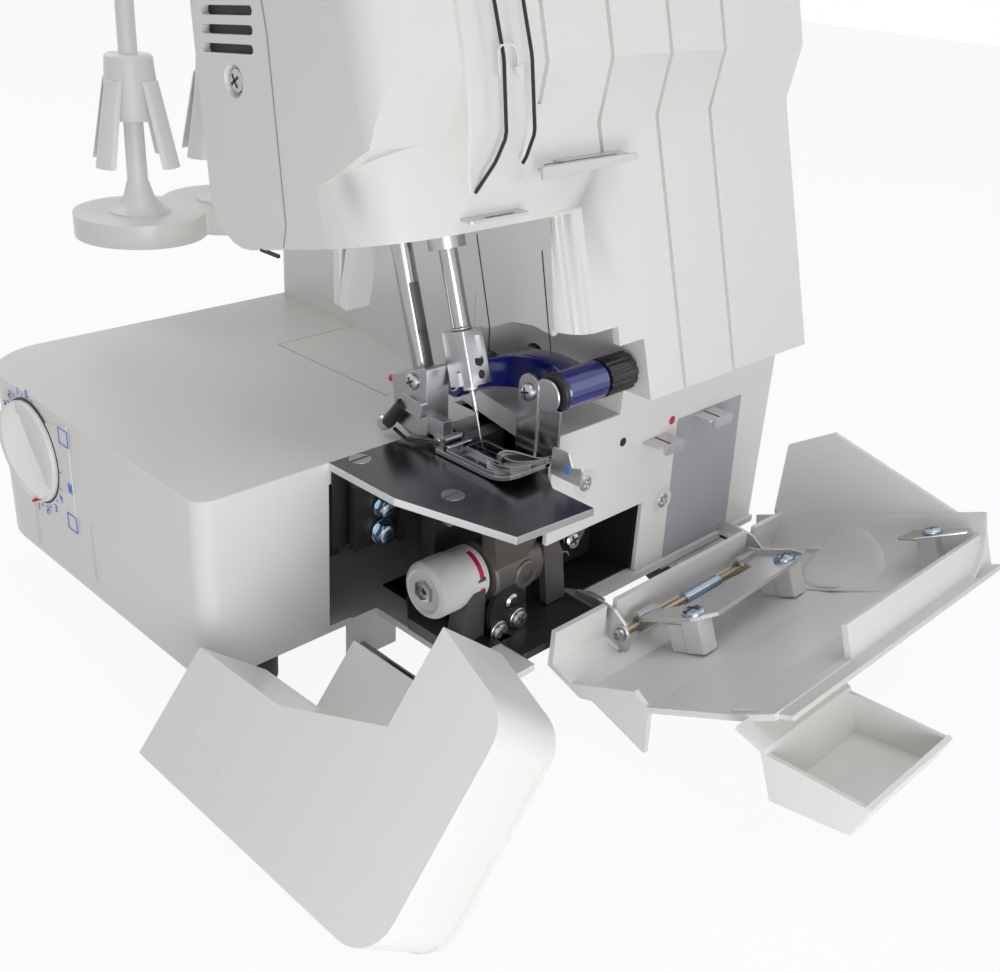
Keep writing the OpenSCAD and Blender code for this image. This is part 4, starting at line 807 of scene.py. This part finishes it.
bits = Piece("looper_details", "machine", "steel", "yellow_zinc", "dark")
bits.screw((15, -100, 52.6), (-0.2, -1, 0.3), 7, 2.2, 10)
bits.use("yellow_zinc")
bits.tube([(14 + 2.4 * math.cos(k * 0.9), -98 + k * 0.5, 44 + 2.4 * math.sin(k * 0.9)) for k in range(30)],
          0.6, 6)
bits.done()

# stitch length knob: a ridged grip with a rounded front, and a plain skirt with a broken red line
KNOB = pivot("length_knob_turn").yz
KNOB_FACE, KNOB_R = corners("length_knob")[0].x, 11.4
RIDGES, NOSE_R = 72, 2.4
knob = Piece("length_knob_shape", "length_dial", "knob", "red", "dark", "zinc")
ring = [(8.1, 0.9), (8.3, 0), (9.0, -0.35)]
for a in (20, 45, 70, 90):
    ring.append((KNOB_R - NOSE_R * (1 - math.sin(math.radians(a))), NOSE_R * (1 - math.cos(math.radians(a)))))
ring += [(KNOB_R, 13.5), (11.15, 14.2), (11.15, 24.0)]
verts, n = [], RIDGES * 4
for radius, t in ring:
    ridged = 2.2 < t < 13.9
    for k in range(n):
        out = radius + (0.16 if k % 4 in (1, 2) else -0.1) * ridged
        a = 2 * math.pi * k / n
        verts.append((KNOB_FACE + t, KNOB[0] + out * math.cos(a), KNOB[1] + out * math.sin(a)))
faces = [(i * n + k, i * n + (k + 1) % n, (i + 1) * n + (k + 1) % n, (i + 1) * n + k)
         for i in range(len(ring) - 1) for k in range(n)]
knob.add(verts, faces + [tuple(range((len(ring) - 1) * n, len(ring) * n))])
knob.lathe([(8.1, 0.9), (5.2, 1.1), (5.0, 4.4), (0, 4.4)], (KNOB_FACE, *KNOB), (1, 0, 0), 40)
knob.rod((-37, *KNOB), (1, 0, 0), 4, 12.8)
knob.use("red")
for a0, a1 in ((100, 168), (186, 200)):
    knob.sheet([[(KNOB_FACE + t, y, z) for y, z in arc(*KNOB, 11.2, a0, a1, 16)] for t in (19.4, 21.6)])
knob.use("zinc")
knob.lathe([(4.9, 0), (4.6, 2.2), (3.2, 2.6), (3.0, 1.0), (0, 1.0)], (-59.0, *KNOB), (-1, 0, 0), 6)
knob.use("dark")
knob.rod((-59.4, *KNOB), (-1, 0, 0), 1.6, 0.9, 0.2, 6)
knob.done(sharp=40, cad=("length_knob",))
collar = Piece("knob_collar", "machine", "black")
collar.rod((-36.5, *KNOB), (1, 0, 0), 10.4, 1.5, 0.4, 48)
collar.done()


def digit(piece, text, at, right, up, size):
    """A generic dial figure, as thin strokes on a surface."""
    # a figure's strokes, named as on a seven-segment display, and each stroke's ends
    strokes = {"0": "abcdef", "1": "bc", "2": "abged", "3": "abgcd", "4": "fgbc", "5": "afgcd", "6": "afgedc",
               "7": "abc", "N": "fecb/"}
    ends = {"a": ((0, 2), (1, 2)), "b": ((1, 2), (1, 1)), "c": ((1, 1), (1, 0)), "d": ((0, 0), (1, 0)),
            "e": ((0, 1), (0, 0)), "f": ((0, 2), (0, 1)), "g": ((0, 1), (1, 1)), "/": ((0, 2), (1, 0))}
    right, up, at = Vector(right), Vector(up), Vector(at)
    for s in strokes[text]:
        p, q = (at + (right * (u - 0.5) + up * (v - 1)) * size * 0.5 for u, v in ends[s])
        piece.tube([p, q], size * 0.075, 5)


# ---------- open looper cover ----------
COVER_IN = HINGE.y - 14.5 + 2.4  # the shut cover's inner face
hinge = Piece("hinge_ears_shape", "machine", "sheet", "dark")
leaf = rounded([(-107.5, 27), (-107.5, 35), (-120, 37.4), (-130, 36.2), (-137, 31.4), (-140.4, 25.6),
                (-139, 18), (-134, 13.4), (-125, 13.4), (-120, 26.8)], [0, 2, 3, 3, 3, 3, 2, 2, 2, 2])
EARS, EAR_T = (10.5, 108.5), 1.6
for x in EARS:
    hinge.prism(leaf, "x", x, x + EAR_T)
    hinge.box((x, -118, 26.5), (x + 8, -108, 28))
    hinge.prism(rounded([(x + 0.2, -118), (x + 8, -118), (x + 8, -110), (x + 0.2, -100)], 0.6), "z", 29.5, 31)
for x in (EARS[0] - 1.3, EARS[1] + EAR_T):
    hinge.rod((x, HINGE.y, HINGE.z), (1, 0, 0), 3.6, 1.3, 0.5)
hinge.done(0.25, cad=("hinge_ears",))
rod = Piece("hinge_rod_shape", "machine", "yellow_zinc", "blue_zinc", "steel")
rod.rod((8.0, HINGE.y, HINGE.z), (1, 0, 0), 1.8, 105, 0.4)
rod.use("blue_zinc")
rod.rod((50.5, HINGE.y, HINGE.z), (1, 0, 0), 3.0, 24.5, 0.8)
rod.use("steel")
rod.lathe([(3.0, 0), (2.8, 1.2), (1.6, 1.8), (1.4, 0.8), (0, 0.8)], (8.4, HINGE.y, HINGE.z), (-1, 0, 0), 28)
rod.done(cad=("hinge_rod",))

SCREWS = ((28.4, 49.8), (95.8, 48.2))  # (x, z) on the shut cover
POST_TOP = -133.8  # where the bracket lies on its posts
CURL_R, CURL_OUT = 3.4, 1.42
yoke = Piece("cover_bracket_shape", "front_cover", "sheet", "blue_zinc", "dark")
yoke.m = COVER_OPEN
yoke.prism(rounded([(20.5, 30), (32, 30), (32, 42.5), (91, 41.5), (91, 30), (104, 30), (104, 48), (102, 56),
                    (90, 56.4), (32, 56.8), (24, 58), (20.5, 52)], [1, 1, 5, 5, 1, 1, 3, 4, 3, 3, 4, 4]),
           "y", POST_TOP, POST_TOP + 1.6)
for x0, x1 in ((20.5, 32), (91, 104)):
    curl = []
    for a in range(20, -200, -20):
        y, z = CURL_R * math.cos(math.radians(a)), CURL_R * math.sin(math.radians(a))
        curl.append([(x, HINGE.y + y * k, HINGE.z + z * k)
                     for x, k in ((x0, 1), (x1, 1), (x1, CURL_OUT), (x0, CURL_OUT))])
    yoke.loft(curl)
    yoke.box((x0, POST_TOP, 27), (x1, POST_TOP + 1.6, 31))
yoke.prism(rounded([(POST_TOP + 1.4, 24), (POST_TOP + 1.4, 54), (POST_TOP + 7, 50), (POST_TOP + 8, 30),
                    (POST_TOP + 5, 22)], [1, 1, 4, 5, 2]), "x", 102.4, 104)
yoke.use("blue_zinc")
for x, z in SCREWS:
    yoke.screw((x, POST_TOP + 1.6, z), (0, 1, 0), 9.6, 2.6, x * 3)
yoke.done(0.25, cad=("cover_brackets", "cover_screws"))

ribs = Piece("cover_interior", "front_cover", "inner", "zinc", "blue_zinc", "dark")
ribs.m = COVER_OPEN
for x, z in SCREWS:
    ribs.prism(rounded([(x - 4.6, z - 4.4), (x + 4.6, z - 4.4), (x + 4.6, z + 5), (x - 4.6, z + 5)], 1), "y",
               COVER_IN - 0.5, POST_TOP)
ribs.box((SCREWS[0][0] - 4, COVER_IN - 0.5, 38), (SCREWS[0][0] - 2.6, POST_TOP - 2, 46))
ribs.box((SCREWS[1][0] - 4, COVER_IN - 0.5, 36), (SCREWS[1][0] - 2.6, POST_TOP - 2, 44))
# stepped strip along the far edge, with its curved line
far = [(-20, 124.6), (-20, 99.5), (15, 100.2), (60, 100.6), (80, 99.1), (100, 94.6), (118, 90), (130, 79),
       (135.6, 68), (135.6, 124.6)]
ribs.prism(far, "y", COVER_IN - 0.6, COVER_IN + 1.5)
# the floor sweeps up into the right wall, with a shallow round boss on the sweep
SWEEP, SWEEP_X = 30.0, 106.0


def on_sweep(x, z, h):
    """A point h mm off the swept floor, at (x, z) on the shut cover."""
    dx = min(max(0.0, x - SWEEP_X), SWEEP - 0.6)
    drop = math.sqrt(SWEEP ** 2 - dx ** 2)
    return (x - h * dx / SWEEP, COVER_IN + SWEEP - drop + h * drop / SWEEP, z)


ribs.sheet([[on_sweep(SWEEP_X - 3 + 32.4 * k / 12, z, 0.15 if k else -0.6) for k in range(13)]
            for z in (8, 40, 70, 96, 122)], thick=-1.2)
# (share of its size, height) from the boss's rim to its middle
boss = ((1.08, 0.0), (1.0, 0.9), (0.9, 1.3), (0.7, 1.2), (0.3, 1.2), (0.02, 1.2))
ribs.sheet([[on_sweep(119 + k * 14 * math.cos(a * math.pi / 24), 60 + k * 19 * math.sin(a * math.pi / 24), h)
             for a in range(48)] for k, h in boss], closed=True)
ribs.prism(rounded([(126, 38), (136.4, 38), (136.4, 47), (126, 47)], 1.2), "y", COVER_IN - 0.5,
           COVER_IN + 10.5)
ribs.prism([(119, 98), (126, 98), (125.4, 106), (119.6, 106)], "y", COVER_IN + 1, COVER_IN + 18)
ribs.use("zinc")
ribs.prism(rounded([(114.5, 91), (126.5, 93), (130, 118), (124, 119), (114, 100)], 1.5), "y", COVER_IN + 18,
           COVER_IN + 19.2)
ribs.use("blue_zinc")
ribs.screw((122.4, COVER_IN + 19.2, 104), (0, 1, 0), 8, 2, 20)
ribs.done(0.5)

# ---------- open side cover ----------
inner = Piece("side_cover_details", "side_door", "inner", "white")
inner.m = SIDE_OPEN
inner.lathe([(5.4, 0), (5, 12), (2.4, 12), (2.2, 4), (0, 4)], (-100, -96, 68.5), (0, 0, 1), 30)
inner.box((-106, -96.7, 76), (-94, -95.3, 80.8))
for y in (-86, -112, -140):
    inner.box((-121.6, y, 68.4), (-112, y + 1.6, 80))
inner.done(0.4)
seam = Piece("side_cover_seam", "side_door", "inner")
seam.m = SIDE_OPEN
plan = [(-123.95, -62)] + arc(-110, -169.5, 13.95, 180, 270, 8) + [(-55, -183.45)]
seam.tube([(x, y, 70.2) for x, y in plan], 0.4, 8)
seam.done()

# ---------- stitch width dial ----------
DIAL, DIAL_FACE = (64.5, 75.6), BED_LEFT - 0.6  # (y, z) of its axis, x of its plate
dial = Piece("dial_plate_shape", "machine", "white", "tick", "dark")
outline = rounded([(93, 101), (78, 104), (56, 104), (30, 99), (30, 48), (56, 46.5), (80, 48), (93, 54)],
                  [9, 14, 14, 3, 3, 12, 12, 9])
dial.prism(outline, "x", BED_LEFT - 0.5, BED_LEFT + 0.3)
dial.use("dark")
dial.rod((DIAL_FACE, *DIAL), (1, 0, 0), 22.4, 0.4, 0.1, 72)
dial.use("tick")
for i in range(15):
    a = math.radians(100 - i * 20 - 8)
    if i < 5 or 8 < i < 13:
        p = (DIAL_FACE, DIAL[0] + 25.4 * math.cos(a), DIAL[1] + 25.4 * math.sin(a))
        digit(dial, "%d" % (i % 8), p, (0, -1, 0), (0, 0, 1), 3)
    tick = a + 0.17
    dial.tube([(DIAL_FACE, DIAL[0] + r * math.cos(tick), DIAL[1] + r * math.sin(tick)) for r in (23.2, 24.4)],
              0.22, 5)
digit(dial, "N", (DIAL_FACE, 33.4, 70.5), (0, -1, 0), (0, 0, 1), 4.4)
for z in (92, 54.5):
    box_mark = [(38.5, z - 3.4), (31.5, z - 3.4), (31.5, z + 3.4), (38.5, z + 3.4), (38.5, z - 3.4)]
    dial.tube([(DIAL_FACE, y, zz) for y, zz in box_mark], 0.26, 5)
dial.done(0.2, cad=("dial_plate",))
turn = Piece("stitch_dial_shape", "width_dial", "knob", "red")
turn.lathe([(4, 14), (4, 0.8), (21.4, 0.8), (21.4, -2.0), (20.8, -2.8), (16.4, -3.4), (16, -2.6), (0, -2.2)],
           (BED_LEFT, *DIAL), (1, 0, 0), 72)
turn.m = Matrix.Translation((BED_LEFT, *DIAL)) @ Matrix.Rotation(math.radians(-38), 4, "X")
rows = []
for i in range(17):
    t = -1 + i / 8
    half = 3.0 + 6.4 * (1 - math.cos(t * math.pi / 2)) * 0.55
    top = 11.5 * math.sqrt(max(0.05, 1 - t * t * 0.72))
    side = [(-2.2, half + 1.6, 20.6 * t), (-top * 0.75, half * 0.8, 20.4 * t), (-top, half * 0.5, 20 * t)]
    rows.append([(x, -y, z) for x, y, z in side] + side[::-1])
turn.loft(rows)
turn.use("red")
turn.box((-8.4, -0.9, -20.4), (-4.6, 0.9, -19.2))
turn.done(0.5, cad=("stitch_dial",))
marks = Piece("bed_ribs", "machine", "inner", "dark")
for y, z0, z1 in ((68.7, 30, 50), (19.3, 34, 60)):
    marks.prism(rounded([(y - 1.2, z0), (y + 1.2, z0), (y + 1.2, z1), (y - 1.2, z1)], 0.8), "x",
                BED_LEFT - 0.4, BED_LEFT + 0.3)
marks.done(0.2)

# ---------- spool stand ----------
SPOOLS = [(-33 + 48 * i, 147.5) for i in range(4)]  # (x, y)
CONE_LOW = corners("cone_holders")[0].z
for i, (sx, sy) in enumerate(SPOOLS):
    cone = Piece("cone_holder_%d" % (i + 1), "machine", "knob")
    cone.m = Matrix.Translation((sx, sy, CONE_LOW))
    cone.lathe([(4.4, 50.5), (9.6, 50.8), (10.8, 49.8), (12.6, 30), (11.8, 22), (9.8, 22), (5.2, 44),
                (4.4, 44)], (0, 0, 0), (0, 0, 1), 48)
    keep = cone.m
    for a in range(20, 380, 90):
        cone.m = keep @ Matrix.Rotation(math.radians(a), 4, "Z")
        rows = []
        for k in range(9):
            t = k / 8
            r, w = 12.0 + 9.5 * t, 5.4 + 0.8 * t
            z = 40 - 38 * t
            rows.append([(r - 0.9, -w, z), (r + 1.0, -w * 0.7, z), (r + 1.9, 0, z), (r + 1.0, w * 0.7, z),
                         (r - 0.9, w, z), (r - 0.6, 0, z)])
        cone.loft(rows)
    cone.done(0.35, cad=("cone_holders",) if i == 0 else ())
pins = Piece("spool_pins_shape", "machine", "knob")
for sx, sy in SPOOLS:
    pins.lathe([(3.6, 2), (14.5, 11), (14.5, 11.6), (11.5, 13), (7.2, 18), (4.8, 26), (4.4, 60), (4.2, 108),
                (3.4, 110), (0, 110.4)], (sx, sy, 133), (0, 0, 1), 40)
pins.done(cad=("spool_pins",))

# ---------- front plate ----------
plate = Piece("front_plate_details", "machine", "zinc", "dark", "red", "grey", "inner")
for x, z in ((8, 84.8), (61.4, 60.2)):
    plate.use("inner")
    plate.lathe([(5.8, 0.2), (5.4, 0.45), (4.9, 0.1)], (x, PLATE_Y, z), (0, -1, 0), 36)
    plate.use("dark")
    plate.rod((x, PLATE_Y + 0.5, z), (0, -1, 0), 5, 0.62, 0.05, 36)
    plate.use("zinc")
    plate.screw((x, PLATE_Y + 0.1, z), (0, -1, 0), 6.6, 1.2, 25)
plate.use("dark")
plate.rod((29.4, PLATE_Y + 0.3, 96.6), (0, -1, 0), 1.9, 0.45, 0.05)
plate.use("red")
plate.rod((61.1, PLATE_Y + 0.3, 97.8), (0, -1, 0), 1.9, 0.45, 0.05)
plate.use("grey")
plate.prism(rounded([(66.5, 23), (115.5, 23), (111.6, 97.6), (64.6, 97.6)], 1.4), "y", PLATE_Y - 0.12,
            PLATE_Y + 0.5)
plate.use("dark")
plate.box((105, PLATE_Y - 0.1, 29.4), (112, PLATE_Y + 0.4, 34.6))
plate.done(0.08)
eyes = Piece("thread_guides_shape", "machine", "sheet", "dark")
for x0, z in ((43, 92), (76, 95.4)):
    x1 = x0 + 14
    eyes.prism(rounded([(x0, -119.5), (x1, -119.5), (x1, -109.6), (x0, -109.6)], [1.5, 0.6, 0.2, 0.2]),
               "z", z, z + 1.2)
    eyes.prism(rounded([(x0 + 2.5, z - 2.2), (x1, z - 2.2), (x1, z + 1.2), (x0 + 2.5, z + 1.2)], 0.6),
               "y", -120.4, -119.2)
    # a dark strip on the eye's top: painted shade in its slot
    eyes.use("dark")
    eyes.box((x0 + 6.4, -118.6, z + 1.12), (x0 + 7.6, -110.4, z + 1.26))
    eyes.use("sheet")
eyes.done(0.2, cad=("thread_guides",))

lever = Piece("lifter_grip", "lifter", "white")
lever.prism(rounded([(-43.4, 140.5), (-30, 140.5), (-30, 178), (-43.4, 178)], 2.4), "y", -19.4, -14.6)
lever.done(1.2)


# ---------- stage and light ----------
FLOOR_SIZE, FLOOR_GLOW, SKY = 6, 0.92, 0.29
AIM = Vector((0, -0.05, 0.1))  # the lamps point here
# name, place in metres, size in metres, power in watts
LAMPS = (("key", (-0.75, -0.95, 0.30), 0.5, 1.1), ("low", (-0.30, -0.55, 0.10), 0.25, 1.15),
         ("top", (0.15, -0.35, 1.5), 1.1, 5.6), ("right", (1.1, -0.9, 0.5), 0.8, 1.6),
         ("back", (-0.3, 1.1, 1.1), 0.8, 4))


def show_white(nodes, links):
    """1 for what the camera sees directly, in a mirror or through glass."""
    path = nodes.new("ShaderNodeLightPath")
    last = path.outputs["Is Camera Ray"]
    for name in ("Is Glossy Ray", "Is Transmission Ray"):
        most = nodes.new("ShaderNodeMath")
        most.operation = "MAXIMUM"
        links.new(last, most.inputs[0])
        links.new(path.outputs[name], most.inputs[1])
        last = most.outputs[0]
    return last


def floor():
    """A pale floor that keeps the object's shadow and shows white where the camera sees it lit."""
    bpy.ops.mesh.primitive_plane_add(size=FLOOR_SIZE, location=(0, 0, 0))
    plane = bpy.context.object
    plane.name = "floor"
    mat = bpy.data.materials.new("floor")
    n, l, b = nodes_of(mat)
    b.inputs["Base Color"].default_value = (0.9, 0.9, 0.9, 1)
    b.inputs["Roughness"].default_value = 0.9
    glow = n.new("ShaderNodeEmission")
    mix = n.new("ShaderNodeMixShader")
    part = n.new("ShaderNodeMath")
    part.operation = "MULTIPLY"
    part.inputs[1].default_value = FLOOR_GLOW
    l.new(show_white(n, l), part.inputs[0])
    l.new(part.outputs[0], mix.inputs[0])
    l.new(b.outputs[0], mix.inputs[1])
    l.new(glow.outputs[0], mix.inputs[2])
    l.new(mix.outputs[0], n["Material Output"].inputs["Surface"])
    plane.data.materials.append(mat)


def sky():
    """A dim white all round, which the camera sees as plain white."""
    world = bpy.data.worlds.new("world")
    bpy.context.scene.world = world
    world.use_nodes = True
    wn, wl = world.node_tree.nodes, world.node_tree.links
    bg = wn["Background"]
    bg.inputs["Color"].default_value = (1, 1, 1, 1)
    mx = wn.new("ShaderNodeMath")
    mx.operation = "MAXIMUM"
    wl.new(show_white(wn, wl), mx.inputs[0])
    mx.inputs[1].default_value = SKY
    wl.new(mx.outputs[0], bg.inputs["Strength"])


def lamps():
    for name, loc, size, power in LAMPS:
        data = bpy.data.lights.new(name, "AREA")
        data.size, data.energy = size, power
        lamp = bpy.data.objects.new(name, data)
        lamp.location = loc
        lamp.rotation_euler = (AIM - Vector(loc)).to_track_quat("-Z", "Y").to_euler()
        bpy.context.scene.collection.objects.link(lamp)


floor()
sky()
lamps()
bpy.context.scene.view_settings.view_transform = "Standard"
